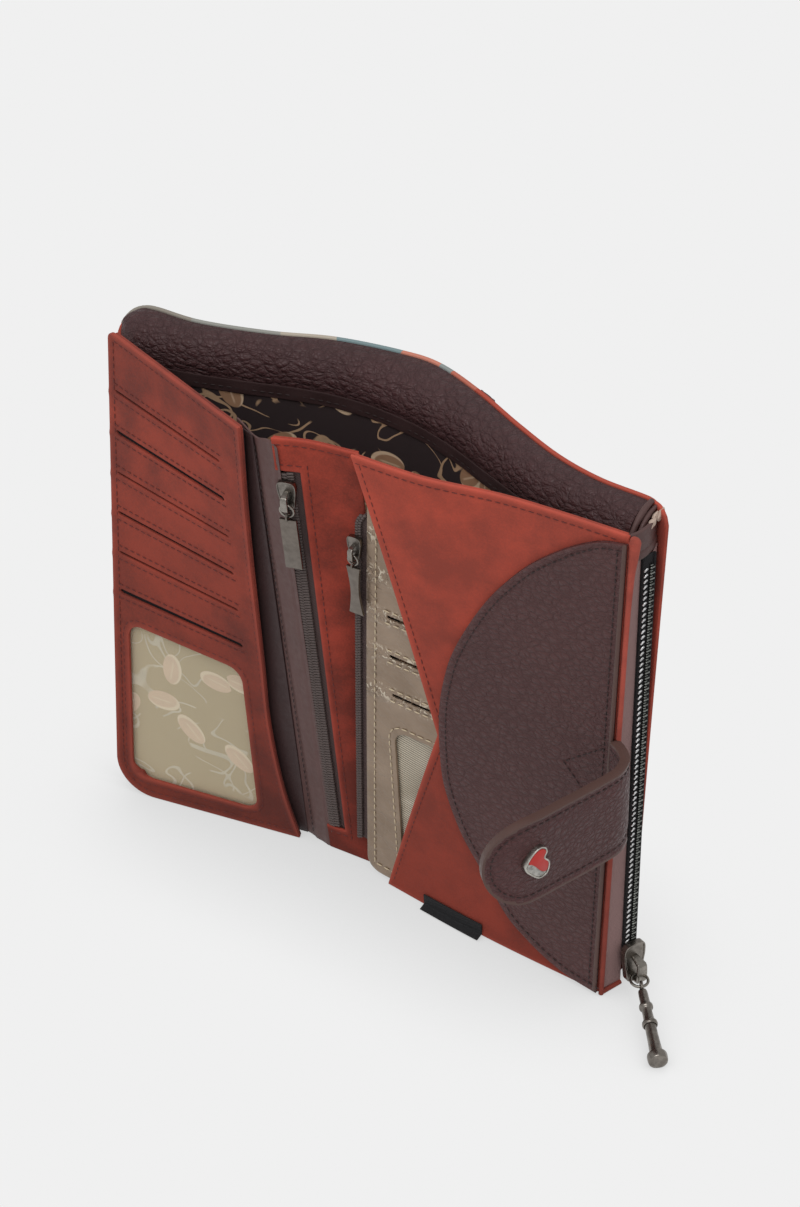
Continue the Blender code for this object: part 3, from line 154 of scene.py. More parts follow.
class Wall:
    """A ruled wall between a line at its foot and a line at its top, with a dip if its middle sinks in."""

    DIP_START, DIP_RUN = 11 * MM, 14 * MM

    def __init__(self, top, foot, rise=HEIGHT, dip=0.0):
        self.top, self.foot, self.rise, self.dip = Line(top), Line(foot), rise, dip
        self.width = (self.top.length + self.foot.length) / 2

    def at(self, u, z, w=0.0):
        u, z, w = matched(u, z, w)
        share, v = u / self.width, z / self.rise
        top, top_way = self.top.at(share * self.top.length)
        foot, foot_way = self.foot.at(share * self.foot.length)
        place = foot + (top - foot) * v[..., None]
        way = foot_way + (top_way - foot_way) * v[..., None]
        way = way / np.linalg.norm(way, axis=-1)[..., None]
        valley = np.clip((u - self.DIP_START) / self.DIP_RUN, 0, 1)
        w = w + self.dip * np.sin(np.pi * np.clip(v, 0, 1)) * valley * valley * (3 - 2 * valley)
        return np.stack((place[..., 0] - way[..., 1] * w, place[..., 1] + way[..., 0] * w, z), -1)

    def across(self, x, z, w=0.0, start=0.0):
        """The u past a start whose depth w is at x, for a wall that runs left to right from there."""
        low, high = start, self.width
        for _ in range(40):
            middle = (low + high) / 2
            low, high = (middle, high) if self.at(middle, z, w)[0] < x else (low, middle)
        return (low + high) / 2

    def frame(self, u, z, w=0.0):
        """A frame on the wall: X along it, Y up it, Z out of its face."""
        place = Vector(self.at(u, z, w))
        up = (Vector(self.at(u, z + GAP, w)) - place).normalized()
        out = (Vector(self.at(u, z, w - GAP)) - place).normalized()
        along = up.cross(out).normalized()
        return Matrix.Translation(place) @ Matrix((along, up, along.cross(up))).transposed().to_4x4()


card_wall = Wall(CARD_TOP, CARD_FOOT)
gusset_wall = Wall(GUSSET_TOP, GUSSET_FOOT)
centre_wall = Wall(CENTRE_TOP, CENTRE_FOOT, dip=4 * MM)
right_wall = Wall(RIGHT_TOP, RIGHT_FOOT)
lining_wall = Wall(LINING_TOP, LINING_FOOT, FACING_BOTTOM - GAP)
cover_wall = Wall(COVER_TOP, COVER_FOOT)


# ---------------------------------------------------------------- materials

def node(tree, kind, feeds=None, **settings):
    made = tree.nodes.new("ShaderNode" + kind)
    for key, value in settings.items():
        setattr(made, key, value)
    for key, value in (feeds or {}).items():
        socket = made.inputs[key]
        if isinstance(value, bpy.types.NodeSocket):
            tree.links.new(value, socket)
        else:
            socket.default_value = value
    return made


class Finish:
    """A material, and short ways to build its node tree."""

    def __init__(self, name, slot, **sockets):
        self.material = bpy.data.materials.new(name)
        self.material.use_nodes = True
        self.slot = slot
        self.tree = self.material.node_tree
        self.shader = self.tree.nodes["Principled BSDF"]
        for key, value in sockets.items():
            self.shader.inputs[key.replace("_", " ")].default_value = value
        self.object = node(self.tree, "TexCoord").outputs["Object"]
        self.flat = node(self.tree, "UVMap", uv_map="flat").outputs["UV"]
        self.height = None

    def noise(self, scale, vector=None, detail=4, roughness=0.55, distortion=0.0):
        return node(self.tree, "TexNoise", {"Vector": vector or self.object, "Scale": scale, "Detail": detail,
                                            "Roughness": roughness, "Distortion": distortion}).outputs["Fac"]

    def cells(self, scale, vector=None, feature="F1", dimensions="3D", output="Distance", **feeds):
        return node(self.tree, "TexVoronoi", {"Vector": vector or self.object, "Scale": scale, **feeds},
                    feature=feature, voronoi_dimensions=dimensions).outputs[output]

    def math(self, operation, a, b=0.0):
        return node(self.tree, "Math", {0: a, 1: b}, operation=operation).outputs[0]

    def ramp(self, value, *stops, interpolation="LINEAR"):
        made = node(self.tree, "ValToRGB", {"Fac": value})
        points = made.color_ramp.elements
        made.color_ramp.interpolation = interpolation
        while len(points) < len(stops):
            points.new(0.5)
        for point, (position, colour) in zip(points, stops):
            point.position = position
            point.color = (*colour, 1) if hasattr(colour, "__len__") else (colour, colour, colour, 1)
        return made.outputs["Color"]

    def mix(self, factor, a, b, blend="MIX"):
        made = node(self.tree, "Mix", {0: factor}, data_type="RGBA", blend_type=blend)
        for index, value in ((6, a), (7, b)):
            if isinstance(value, bpy.types.NodeSocket):
                self.tree.links.new(value, made.inputs[index])
            else:
                made.inputs[index].default_value = (*value, 1)
        return made.outputs[2]

    def span(self, value, low, high, to_low=0.0, to_high=1.0):
        return node(self.tree, "MapRange", {0: value, 1: low, 2: high, 3: to_low, 4: to_high}).outputs[0]

    def attribute(self, name):
        return node(self.tree, "Attribute", attribute_name=name).outputs["Fac"]

    def warp(self, vector, scale, amount):
        """The vector, pushed about by noise."""
        push = node(self.tree, "TexNoise", {"Vector": vector, "Scale": scale, "Detail": 2})
        centred = node(self.tree, "VectorMath", {0: push.outputs["Color"], 1: (0.5, 0.5, 0.5)}, operation="SUBTRACT")
        sized = node(self.tree, "VectorMath", {0: centred.outputs[0], "Scale": amount}, operation="SCALE")
        return node(self.tree, "VectorMath", {0: vector, 1: sized.outputs[0]}, operation="ADD").outputs[0]

    def stretch(self, vector, scale, turn=0.0):
        return node(self.tree, "Mapping", {"Vector": vector, "Scale": scale, "Rotation": (0, 0, turn)}).outputs[0]

    def bump(self, height, distance, strength=1.0):
        feeds = {"Height": height, "Distance": distance, "Strength": strength}
        if self.height:
            feeds["Normal"] = self.height
        self.height = node(self.tree, "Bump", feeds).outputs["Normal"]

    def done(self, colour=None, roughness=None, metallic=None):
        for key, socket in (("Base Color", colour), ("Roughness", roughness), ("Metallic", metallic),
                            ("Normal", self.height)):
            if socket is not None:
                self.tree.links.new(socket, self.shader.inputs[key])
        return self


def nubuck(name, slot, bright, dark, blotch=28):
    """Soft red leather with cloudy patches, a fine nap, paler rubbed edges and painted shade towards the foot."""
    made = Finish(name, slot, Roughness=0.85, Sheen_Weight=0.03, Sheen_Roughness=0.5, Specular_IOR_Level=0.16)
    cloud = made.math("ADD", made.math("MULTIPLY", made.noise(blotch, detail=2, roughness=0.5), 0.55),
                      made.math("MULTIPLY", made.noise(blotch * 3.2, detail=3, roughness=0.6), 0.45))
    nap = made.noise(1400, detail=3, roughness=0.7)
    grit = made.cells(900)
    patches = made.ramp(made.math("ADD", cloud, made.math("MULTIPLY", made.math("SUBTRACT", nap, 0.5), 0.30)),
                        (0.38, dark), (0.62, bright))
    height = node(made.tree, "SeparateXYZ", {0: made.object}).outputs["Z"]
    # Painted shade: the colour grows darker towards the foot, standing in for less light low on the walls.
    patches = made.mix(made.span(height, 0.0, 0.15, 0.50, 0.0), patches, tuple(c * 0.25 for c in dark))
    rubbed = made.mix(made.math("MULTIPLY", made.attribute("edge"), 0.35), patches,
                      tuple(min(1, c * 1.45 + 0.012) for c in bright))
    made.bump(nap, 0.00012, 0.7)
    made.bump(grit, 0.00008, 0.5)
    return made.done(rubbed, made.span(nap, 0.3, 0.7, 0.72, 0.9))


def pebbled(name, slot, bright, dark, scale, depth, roughness):
    """Grained leather: plump pebbles, with painted shade darkening the creases between them."""
    made = Finish(name, slot, Specular_IOR_Level=0.32)
    bent = made.stretch(made.warp(made.object, 130, 0.0030), (1, 1, 1.5))
    crease = made.cells(scale, bent, "DISTANCE_TO_EDGE")
    dome = made.math("POWER", made.span(crease, 0.0, 0.32), 0.55)
    plump = made.span(made.cells(scale, bent, "SMOOTH_F1", Smoothness=0.25), 0.1, 0.62, 1.0, 0.0)
    dome = made.math("ADD", made.math("MULTIPLY", dome, 0.55), made.math("MULTIPLY", plump, 0.45))
    fine = made.math("POWER", made.span(made.cells(scale * 2.1, bent, "DISTANCE_TO_EDGE"), 0.0, 0.3), 0.6)
    dome = made.math("ADD", made.math("MULTIPLY", dome, 0.75), made.math("MULTIPLY", fine, 0.25))
    small = made.noise(2600, detail=2)
    cloud = made.noise(30, detail=3)
    tone = made.mix(cloud, dark, bright)
    # Painted shade: the creases between the pebbles are darkened in the colour.
    tone = made.mix(made.span(dome, 0.0, 0.7, 0.34, 0.0), tone, tuple(c * 0.45 for c in dark))
    worn = made.mix(made.math("MULTIPLY", made.attribute("edge"), 0.3), tone, tuple(c * 1.5 for c in bright))
    made.bump(dome, depth, 0.9)
    made.bump(small, 0.00005, 0.6)
    return made.done(worn, made.span(dome, 0.2, 1.0, roughness[1], roughness[0]))


def smooth_leather(name, slot, bright, dark, roughness=0.5):
    """Fine-grained leather, as on edges and the folded strip."""
    made = Finish(name, slot, Roughness=roughness, Specular_IOR_Level=0.28)
    grain = made.cells(1700, made.warp(made.object, 300, 0.0008), "SMOOTH_F1")
    cloud = made.noise(45, detail=3)
    made.bump(grain, 0.00008, 0.7)
    return made.done(made.mix(cloud, dark, bright), made.span(made.noise(500), 0.3, 0.7, roughness - 0.08,
                                                             roughness + 0.1))


def metallic_leather(name, slot):
    """Leather with a worn metal finish, which is creased beside the slots and has painted highlights on the crease
    peaks.
    """
    made = Finish(name, slot, Metallic=0.5, Specular_IOR_Level=0.5)
    creased = made.warp(made.stretch(made.object, (0.9, 0.9, 1.2)), 55, 0.008)
    crackle = made.cells(130, creased, "DISTANCE_TO_EDGE")
    crackle = made.span(crackle, 0.0, 0.07)
    fine = made.noise(900, detail=3)
    cloud = made.noise(60, detail=4)
    tone = made.ramp(cloud, (0.3, (0.235, 0.168, 0.115)), (0.7, (0.34, 0.25, 0.18)))
    folds = made.noise(90, made.stretch(made.object, (0.9, 0.9, 1.4)), detail=2, distortion=1.0)
    height = node(made.tree, "SeparateXYZ", {0: made.flat}).outputs[1]
    lowest_slot, half_way_to_next = 0.926, 0.088
    by_slot = made.math("PINGPONG", made.math("SUBTRACT", height, lowest_slot), half_way_to_next)
    by_slot = made.math("MULTIPLY", made.span(by_slot, 0.008, 0.050, 1.0, 0.0), made.span(height, 0.82, 0.88))
    wrinkle = made.noise(420, made.stretch(made.object, (1, 1, 0.7)), detail=2, distortion=1.6)
    # Painted highlight: pale colour on the peaks of the creases beside the slots.
    tone = made.mix(made.math("MULTIPLY", made.span(wrinkle, 0.56, 0.62), by_slot), tone, (0.72, 0.63, 0.50))
    made.bump(made.math("MULTIPLY", wrinkle, by_slot), 0.0012, 0.8)
    made.bump(folds, 0.0012, 0.5)
    made.bump(crackle, 0.00012, 0.6)
    made.bump(fine, 0.00006, 0.6)
    return made.done(tone, made.span(fine, 0.3, 0.7, 0.28, 0.42))


def printed_cloth(name, slot, ground, fill, rim, stroke):
    """Woven lining with a free print: oval leaves with a pale side, and thin winding stems."""
    made = Finish(name, slot, Roughness=0.85, Specular_IOR_Level=0.2)
    grid = made.stretch(made.flat, (4.9, 4.9, 1), 0.5)
    place = made.cells(1.0, grid, "F1", "2D", "Position", Randomness=0.85)
    pick = node(made.tree, "SeparateColor", {"Color": made.cells(1.0, grid, "F1", "2D", "Color", Randomness=0.85)})
    away = node(made.tree, "VectorMath", {0: grid, 1: place}, operation="SUBTRACT").outputs[0]
    spun = node(made.tree, "VectorRotate", {"Vector": away, "Angle": made.math("MULTIPLY", pick.outputs["Red"], 6.28)})
    sized = node(made.tree, "VectorMath", {0: spun.outputs[0], 1: (2.9, 4.9, 0)}, operation="MULTIPLY").outputs[0]
    shifted = node(made.tree, "VectorMath", {0: sized, 1: (0.10, -0.20, 0)}, operation="ADD").outputs[0]
    reach, inner = (node(made.tree, "VectorMath", {0: vector}, operation="LENGTH").outputs["Value"]
                    for vector in (sized, shifted))
    leaf = made.math("MULTIPLY", made.span(reach, 0.94, 1.0, 1.0, 0.0), made.span(pick.outputs["Green"], 0.16, 0.18))
    side = made.math("MULTIPLY", leaf, made.span(inner, 0.86, 0.95))
    across = node(made.tree, "SeparateXYZ", {0: sized}).outputs
    rib = made.span(made.math("ABSOLUTE", made.math("ADD", across[1], made.math("MULTIPLY", across[0], 0.15))),
                    0.05, 0.12, 1.0, 0.0)
    rib = made.math("MULTIPLY", made.math("MULTIPLY", rib, leaf), made.span(inner, 0.5, 0.7, 1.0, 0.0))
    stems = None
    for scale, shift, thin in ((6.0, 0.0, 0.015), (4.4, 7.3, 0.012)):
        moved = node(made.tree, "VectorMath", {0: made.flat, 1: (shift, shift, 0)}, operation="ADD").outputs[0]
        wander = made.noise(scale, moved, detail=0.0, distortion=1.1)
        drawn = made.span(made.math("ABSOLUTE", made.math("SUBTRACT", wander, 0.5)), thin, thin * 1.5, 1.0, 0.0)
        stems = drawn if stems is None else made.math("MAXIMUM", stems, drawn)
    gaps = made.span(made.noise(5, made.flat, detail=0.0), 0.40, 0.43)
    fade = made.noise(8, made.flat, detail=2)
    tone = made.mix(made.math("MULTIPLY", stems, gaps), ground, made.mix(fade, stroke, tuple(c * 0.6 for c in stroke)))
    tone = made.mix(leaf, tone, made.mix(made.noise(14, made.flat), fill, tuple(c * 0.8 for c in fill)))
    tone = made.mix(made.math("MAXIMUM", side, made.math("MULTIPLY", rib, 0.6)), tone, rim)
    weave = [node(made.tree, "TexWave", {"Vector": made.flat, "Scale": 240}, wave_type="BANDS",
                  bands_direction=way).outputs["Fac"] for way in ("X", "Y")]
    made.bump(made.math("MULTIPLY", *weave), 0.00006, 0.5)
    return made.done(tone)


def tape_cloth(name, slot, bright, dark):
    """Woven zip tape, with a fine diagonal rib."""
    made = Finish(name, slot, Roughness=0.8, Specular_IOR_Level=0.3)
    turned = made.stretch(made.flat, (1, 1, 1), 0.9)
    rib = node(made.tree, "TexWave", {"Vector": turned, "Scale": 55, "Distortion": 0.6, "Detail": 1},
               bands_direction="X").outputs["Fac"]
    cross = node(made.tree, "TexWave", {"Vector": turned, "Scale": 80}, bands_direction="Y").outputs["Fac"]
    made.bump(made.math("MULTIPLY", rib, cross), 0.00016, 0.9)
    return made.done(made.mix(rib, dark, bright))


def worn_metal(name, slot, colour, dark, roughness):
    """Metal with a patchy patina and a fine brushed grain."""
    made = Finish(name, slot, Metallic=1.0)
    patina = made.noise(420, detail=4, roughness=0.65)
    fine = made.noise(2200, made.stretch(made.object, (1, 1, 0.15)), detail=2)
    made.bump(fine, 0.00001, 0.3)
    return made.done(made.ramp(patina, (0.32, dark), (0.62, colour)), made.span(patina, 0.3, 0.7, roughness[1],
                                                                               roughness[0]))


def thread(name, slot, bright, dark):
    """Sewing thread, or cloth of thick threads."""
    made = Finish(name, slot, Roughness=0.6, Specular_IOR_Level=0.35)
    ply = made.noise(3200, detail=2)
    made.bump(ply, 0.00006, 0.8)
    return made.done(made.mix(ply, dark, bright))


def screen(name, slot):
    """Fine woven screen with pale and dark threads, over a cream ground."""
    made = Finish(name, slot, Roughness=0.45, Specular_IOR_Level=0.5)
    turned = made.stretch(made.flat, (1, 1, 1), 0.12)
    bands = [node(made.tree, "TexWave", {"Vector": turned, "Scale": 30, "Distortion": 0.4, "Detail": 1},
                  bands_direction=way).outputs["Fac"] for way in ("Y", "X")]
    shade = made.math("MULTIPLY", bands[0], made.span(bands[1], 0, 1, 0.75, 1.0))
    cloud = made.noise(2.2, made.flat, detail=1, distortion=1.0)
    cream = made.ramp(cloud, (0.40, (0.46, 0.39, 0.28)), (0.5, (0.80, 0.72, 0.57)), (0.60, (0.56, 0.48, 0.36)))
    made.bump(shade, 0.00015, 0.8)
    return made.done(made.mix(made.span(shade, 0.1, 0.55), (0.20, 0.17, 0.13), cream))


RED_BRIGHT, RED_DARK = (0.50, 0.084, 0.053), (0.31, 0.062, 0.043)
BROWN_BRIGHT, BROWN_DARK = (0.108, 0.043, 0.041), (0.074, 0.030, 0.030)

# Painted shade: the card panel gets a darker copy of the red leather, for the light it turns away from.
shaded_red_card = nubuck("shaded_red_card_leather", "red_fabric", (0.37, 0.068, 0.044), (0.19, 0.046, 0.035), 24)
red_front = nubuck("red_front_leather", "red_fabric", RED_BRIGHT, RED_DARK)
red_middle = nubuck("red_middle_leather", "red_fabric", (0.43, 0.064, 0.039), (0.20, 0.037, 0.025), 34)
red_cord = nubuck("red_piping_leather", "red_fabric", (0.50, 0.100, 0.070), (0.34, 0.072, 0.052), 40)
brown_round = pebbled("brown_round_leather", "brown_leather", BROWN_BRIGHT, BROWN_DARK, 330, 0.0006,
                      (0.34, 0.58))
# Painted shade: the roll gets a darker copy of the pebbled brown leather, for the shade in the mouth.
shaded_brown_roll = pebbled("shaded_brown_roll_leather", "brown_leather", (0.082, 0.033, 0.034), (0.050, 0.021, 0.022), 270, 0.0009,
                     (0.34, 0.55))
brown_strap = pebbled("brown_strap_leather", "brown_leather", (0.104, 0.037, 0.037), (0.070, 0.026, 0.026), 390,
                      0.0007, (0.32, 0.56))
brown_smooth = smooth_leather("brown_smooth_leather", "brown_leather", (0.125, 0.068, 0.063), (0.085, 0.046, 0.043))
# Painted light: the gusset gets a lighter copy of the smooth brown leather, to make up for the shade in its deep fold.
lit_brown_fold = smooth_leather("lit_brown_fold_leather", "brown_leather", (0.150, 0.080, 0.074), (0.100, 0.054, 0.050))
brown_seam = smooth_leather("brown_seam_leather", "brown_leather", (0.056, 0.029, 0.029), (0.036, 0.019, 0.019))
edge_paint = smooth_leather("brown_edge_paint", "brown_leather", (0.125, 0.068, 0.057), (0.088, 0.050, 0.043), 0.42)
bronze = metallic_leather("bronze_leather", "bronze_leather")
black_print = printed_cloth("black_printed_lining", "black_lining", (0.044, 0.030, 0.031), (0.48, 0.27, 0.16),
                            (0.82, 0.60, 0.41), (0.72, 0.46, 0.28))
taupe_print = printed_cloth("taupe_printed_lining", "taupe_lining", (0.56, 0.46, 0.29), (0.88, 0.69, 0.50),
                            (0.86, 0.74, 0.55), (0.86, 0.78, 0.60))
# Painted shade: a plain near-black cloth, put behind the card slots and behind the card panel where there is shade.
shade_dark_cloth = tape_cloth("shade_dark_lining", "black_lining", (0.022, 0.017, 0.020), (0.010, 0.008, 0.010))
# Painted light: the side zip's tape is far lighter than its own brown, to make up for the shade it lies in.
lit_brown_tape = tape_cloth("lit_brown_zip_tape", "zip_tape", (0.44, 0.272, 0.258), (0.24, 0.148, 0.143))
dark_tape = tape_cloth("dark_zip_tape", "zip_tape", (0.16, 0.108, 0.102), (0.085, 0.057, 0.055))
black_tape = tape_cloth("black_zip_tape", "zip_tape", (0.03, 0.028, 0.03), (0.012, 0.011, 0.012))
coil_black = smooth_leather("dark_coil_nylon", "zip_coil", (0.14, 0.106, 0.098), (0.075, 0.056, 0.052), 0.38)
gunmetal = worn_metal("worn_gunmetal", "zip_metal", (0.30, 0.275, 0.245), (0.20, 0.183, 0.162), (0.22, 0.34))
dark_pull = worn_metal("dark_pull_metal", "zip_metal", (0.25, 0.225, 0.20), (0.155, 0.138, 0.122), (0.24, 0.38))
bright_metal = worn_metal("bright_teeth_metal", "zip_metal", (0.66, 0.66, 0.66), (0.42, 0.42, 0.42), (0.18, 0.34))
dull_metal = worn_metal("dull_teeth_metal", "zip_metal", (0.26, 0.27, 0.25), (0.13, 0.135, 0.125), (0.24, 0.40))
bright_rim = worn_metal("bright_rim_metal", "zip_metal", (0.50, 0.48, 0.44), (0.28, 0.265, 0.24), (0.2, 0.34))
tag_metal = worn_metal("satin_tag_metal", "zip_metal", (0.205, 0.178, 0.155), (0.165, 0.142, 0.123), (0.34, 0.46))
grained_metal = worn_metal("grained_silver_metal", "zip_metal", (0.46, 0.45, 0.42), (0.16, 0.155, 0.145), (0.3, 0.5))
red_thread = thread("dark_red_thread", "red_fabric", (0.17, 0.030, 0.024), (0.085, 0.018, 0.016))
brown_thread = thread("dark_brown_thread", "brown_leather", (0.045, 0.026, 0.025), (0.02, 0.012, 0.012))
cream_thread = thread("cream_thread", "bronze_leather", (0.74, 0.62, 0.44), (0.52, 0.41, 0.27))
mesh_cloth = screen("window_mesh_cloth", "window_mesh")
label_satin = tape_cloth("black_label_satin", "black_lining", (0.03, 0.03, 0.032), (0.012, 0.012, 0.013))
cream_cloth = thread("cream_folded_cloth", "black_lining", (0.66, 0.52, 0.43), (0.42, 0.31, 0.25))
cover_blocks = Finish("cover_band_leather", "red_fabric", Roughness=0.8, Specular_IOR_Level=0.2)
blocks = cover_blocks.math("ADD", node(cover_blocks.tree, "SeparateXYZ", {0: cover_blocks.flat}).outputs[0],
                           cover_blocks.math("MULTIPLY", cover_blocks.noise(90), 0.05))
cover_blocks.done(cover_blocks.ramp(
    cover_blocks.math("MULTIPLY", blocks, 0.4), (0.0, (0.30, 0.27, 0.23)), (0.150, (0.33, 0.33, 0.30)),
    (0.262, (0.50, 0.44, 0.36)), (0.340, (0.22, 0.30, 0.31)), (0.428, (0.62, 0.24, 0.17)),
    (0.492, (0.30, 0.33, 0.32)), (0.510, (0.52, 0.16, 0.11)), (0.560, (0.45, 0.085, 0.055)),
    interpolation="CONSTANT"))

enamel = Finish("red_enamel", "red_enamel", Roughness=0.3, Specular_IOR_Level=0.3)
enamel.done(enamel.mix(enamel.noise(300), (0.50, 0.028, 0.022), (0.58, 0.038, 0.03)))
film = Finish("clear_window_film", "window_film", Roughness=0.22, Alpha=0.08, IOR=1.5)
film.bump(film.noise(60), 0.0003, 0.4)
film.done(film.mix(film.noise(80), (0.75, 0.72, 0.62), (0.85, 0.82, 0.74)))



# ---------------------------------------------------------------- making pieces

EDGE_WEAR = 1.1 * MM
GROOVE_DEPTH, GROOVE_REACH = 0.16 * MM, 0.7 * MM
HEM_WIDTH, HEM_SLOPE = 2.6 * MM, 0.8 * MM
TOUCH = 1e-7


def activate(piece):
    bpy.ops.object.select_all(action="DESELECT")
    piece.select_set(True)
    bpy.context.view_layer.objects.active = piece


def edit_all():
    bpy.ops.object.mode_set(mode="EDIT")
    bpy.ops.mesh.select_all(action="SELECT")


def leave_edit():
    bpy.ops.object.mode_set(mode="OBJECT")


def apply(piece, kind, **settings):
    modifier = piece.modifiers.new(kind.lower(), kind)
    for key, value in settings.items():
        setattr(modifier, key, value)
    activate(piece)
    bpy.ops.object.modifier_apply(modifier=modifier.name)


def round_edges(piece, width, segments=2, angle=35):
    apply(piece, "BEVEL", width=width, segments=segments, limit_method="ANGLE", angle_limit=math.radians(angle))


def soften(piece, angle=40):
    activate(piece)
    bpy.ops.object.shade_smooth_by_angle(angle=math.radians(angle))


def coordinates(piece):
    co = np.empty(len(piece.data.vertices) * 3)
    piece.data.vertices.foreach_get("co", co)
    return co.reshape(-1, 3)


def place_vertices(piece, co):
    piece.data.vertices.foreach_set("co", np.asarray(co, float).ravel())
    piece.data.update()


def face_vectors(piece, field):
    found = np.empty(len(piece.data.polygons) * 3)
    piece.data.polygons.foreach_get(field, found)
    return found.reshape(-1, 3)


def select_faces(piece, chosen):
    """Selects the chosen faces alone, and stays in edit mode."""
    activate(piece)
    bpy.ops.object.mode_set(mode="EDIT")
    bpy.ops.mesh.select_mode(type="FACE")
    bpy.ops.mesh.select_all(action="DESELECT")
    leave_edit()
    piece.data.polygons.foreach_set("select", chosen)
    bpy.ops.object.mode_set(mode="EDIT")


def lines(low, high, step, marks=()):
    """Grid lines from low to high, no further apart than step, with one at every mark."""
    stops = sorted({low, high, *[mark for mark in marks if low < mark < high]})
    found = [low]
    for a, b in zip(stops, stops[1:]):
        count = max(1, math.ceil((b - a) / step - 0.01))
        found += [a + (b - a) * k / count for k in range(1, count + 1)]
    return np.array(found)


def cut_sheet(name, us, zs, holes=()):
    """A flat sheet on given grid lines, with the faces of its holes deleted."""
    bpy.ops.mesh.primitive_grid_add(x_subdivisions=len(us) - 1, y_subdivisions=len(zs) - 1, size=1)
    piece = bpy.context.object
    piece.name = name
    across, up = np.meshgrid(us, zs)
    place_vertices(piece, np.stack((across.ravel(), up.ravel(), np.zeros(across.size)), 1))
    if holes:
        u, z, _ = face_vectors(piece, "center").T
        select_faces(piece, np.any([(u > left) & (u < right) & (z > foot) & (z < top)
                                    for left, foot, right, top in holes], axis=0))
        bpy.ops.mesh.delete(type="FACE")
        leave_edit()
    return piece


def near(co, runs):
    """The distance of flat points to the nearest of some runs of points."""
    found = np.full(len(co), 1.0)
    for run in runs:
        run = np.asarray(run, float)
        for a, b in zip(run, run[1:]):
            way = b - a
            t = np.clip(((co[:, :2] - a) @ way) / max(way @ way, 1e-12), 0, 1)
            found = np.minimum(found, np.linalg.norm(co[:, :2] - a - t[:, None] * way, axis=1))
    return found


def round_hole(co, hole, radius):
    """Pulls the corners of a window in to a radius."""
    left, foot, right, top = hole
    for cu, cz, su, sz in ((left, foot, 1, 1), (right, foot, -1, 1), (left, top, 1, -1), (right, top, -1, -1)):
        centre = np.array((cu + su * radius, cz + sz * radius))
        away = co[:, :2] - centre
        a, b = away[:, 0] * su, away[:, 1] * sz
        on_rim = (np.abs(co[:, 0] - cu) < TOUCH) | (np.abs(co[:, 1] - cz) < TOUCH)
        rim = on_rim & (a < 1e-9) & (b < 1e-9) & (a >= -radius - TOUCH) & (b >= -radius - TOUCH)
        size = np.linalg.norm(away[rim], axis=1)[:, None]
        co[rim, :2] = centre + away[rim] / size * radius
    return co


def round_corner(co, corner, radius, su, sz):
    """Rounds an outer corner of a sheet, drawing the grid in with it."""
    centre = np.array((corner[0] + su * radius, corner[1] + sz * radius))
    away = co[:, :2] - centre
    inside = (away[:, 0] * su < 0) & (away[:, 1] * sz < 0)
    part = away[inside]
    square = np.abs(part).max(1)
    size = np.maximum(np.linalg.norm(part, axis=1), 1e-9)
    co[inside, :2] = centre + part * (square / size)[:, None]
    return co


def set_finish(piece, finish, body, replaced=(), blend=None):
    piece.data.materials.clear()
    piece.data.materials.append(finish.material)
    if replaced:
        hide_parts(*replaced)
    if blend:
        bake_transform(piece)
    else:
        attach(piece, body)
    return piece


def set_flat(piece, points):
    """Keeps flat points, in tenths of a metre, as the piece's own UV map."""
    uv = piece.data.uv_layers.new(name="flat")
    corners = np.empty(len(piece.data.loops), int)
    piece.data.loops.foreach_get("vertex_index", corners)
    uv.data.foreach_set("uv", (points[corners] * 10).ravel())


def lay(piece, wall, depth, thickness, edges=(), grooves=(), hem=0.0, rounding=0.35 * MM, relief=None):
    """Gives a flat sheet its thickness, rounded edges, hems and grooves, and lays it on its wall."""
    apply(piece, "SOLIDIFY", thickness=thickness, offset=-1)
    if rounding:
        round_edges(piece, min(rounding, thickness * 0.45), angle=50)
    co = coordinates(piece)
    front = np.clip(1 + co[:, 2] / thickness, 0, 1)
    rise = np.zeros(len(co))
    away = near(co, edges)
    if hem:
        rise += hem * np.clip((HEM_WIDTH - away) / HEM_SLOPE + 0.5, 0, 1)
    if grooves:
        rise -= GROOVE_DEPTH * np.exp(-(near(co, grooves) / GROOVE_REACH) ** 2)
    if relief:
        rise += relief(co[:, 0], co[:, 1])
    wear = piece.data.attributes.new("edge", "FLOAT", "POINT")
    wear.data.foreach_set("value", np.exp(-(away / EDGE_WEAR) ** 2))
    set_flat(piece, co[:, :2])
    place_vertices(piece, wall.at(co[:, 0], co[:, 1], depth - co[:, 2] - rise * front))
    soften(piece)
    return piece


def sheet(name, wall, us, zs, depth, thickness, finish, body, replaced=(), holes=(), change=None, blend=None, **form):
    """A sheet that is cut, changed where it is flat, laid on its wall and given its finish."""
    piece = cut_sheet(name, us, zs, holes)
    if change:
        place_vertices(piece, change(coordinates(piece)))
    lay(piece, wall, depth, thickness, **form)
    return set_finish(piece, finish, body, replaced, blend)


def as_model(piece):
    """The points and faces of a small piece, to be copied many times; the piece itself goes."""
    model = coordinates(piece), [tuple(face.vertices) for face in piece.data.polygons]
    bpy.data.objects.remove(piece)
    return model


def lie_down(size):
    """Turns what was just added from Z to X and gives it its half sizes."""
    edit_all()
    bpy.ops.transform.rotate(value=math.pi / 2, orient_axis="Y", center_override=(0, 0, 0))
    bpy.ops.transform.resize(value=size, center_override=(0, 0, 0))
    leave_edit()


def stitch_model(length, width, height):
    """One stitch: a short plump thread whose ends dip into the leather."""
    bpy.ops.mesh.primitive_uv_sphere_add(segments=6, ring_count=4, radius=1)
    lie_down((length / 2, width / 2, height / 2))
    return as_model(bpy.context.object)


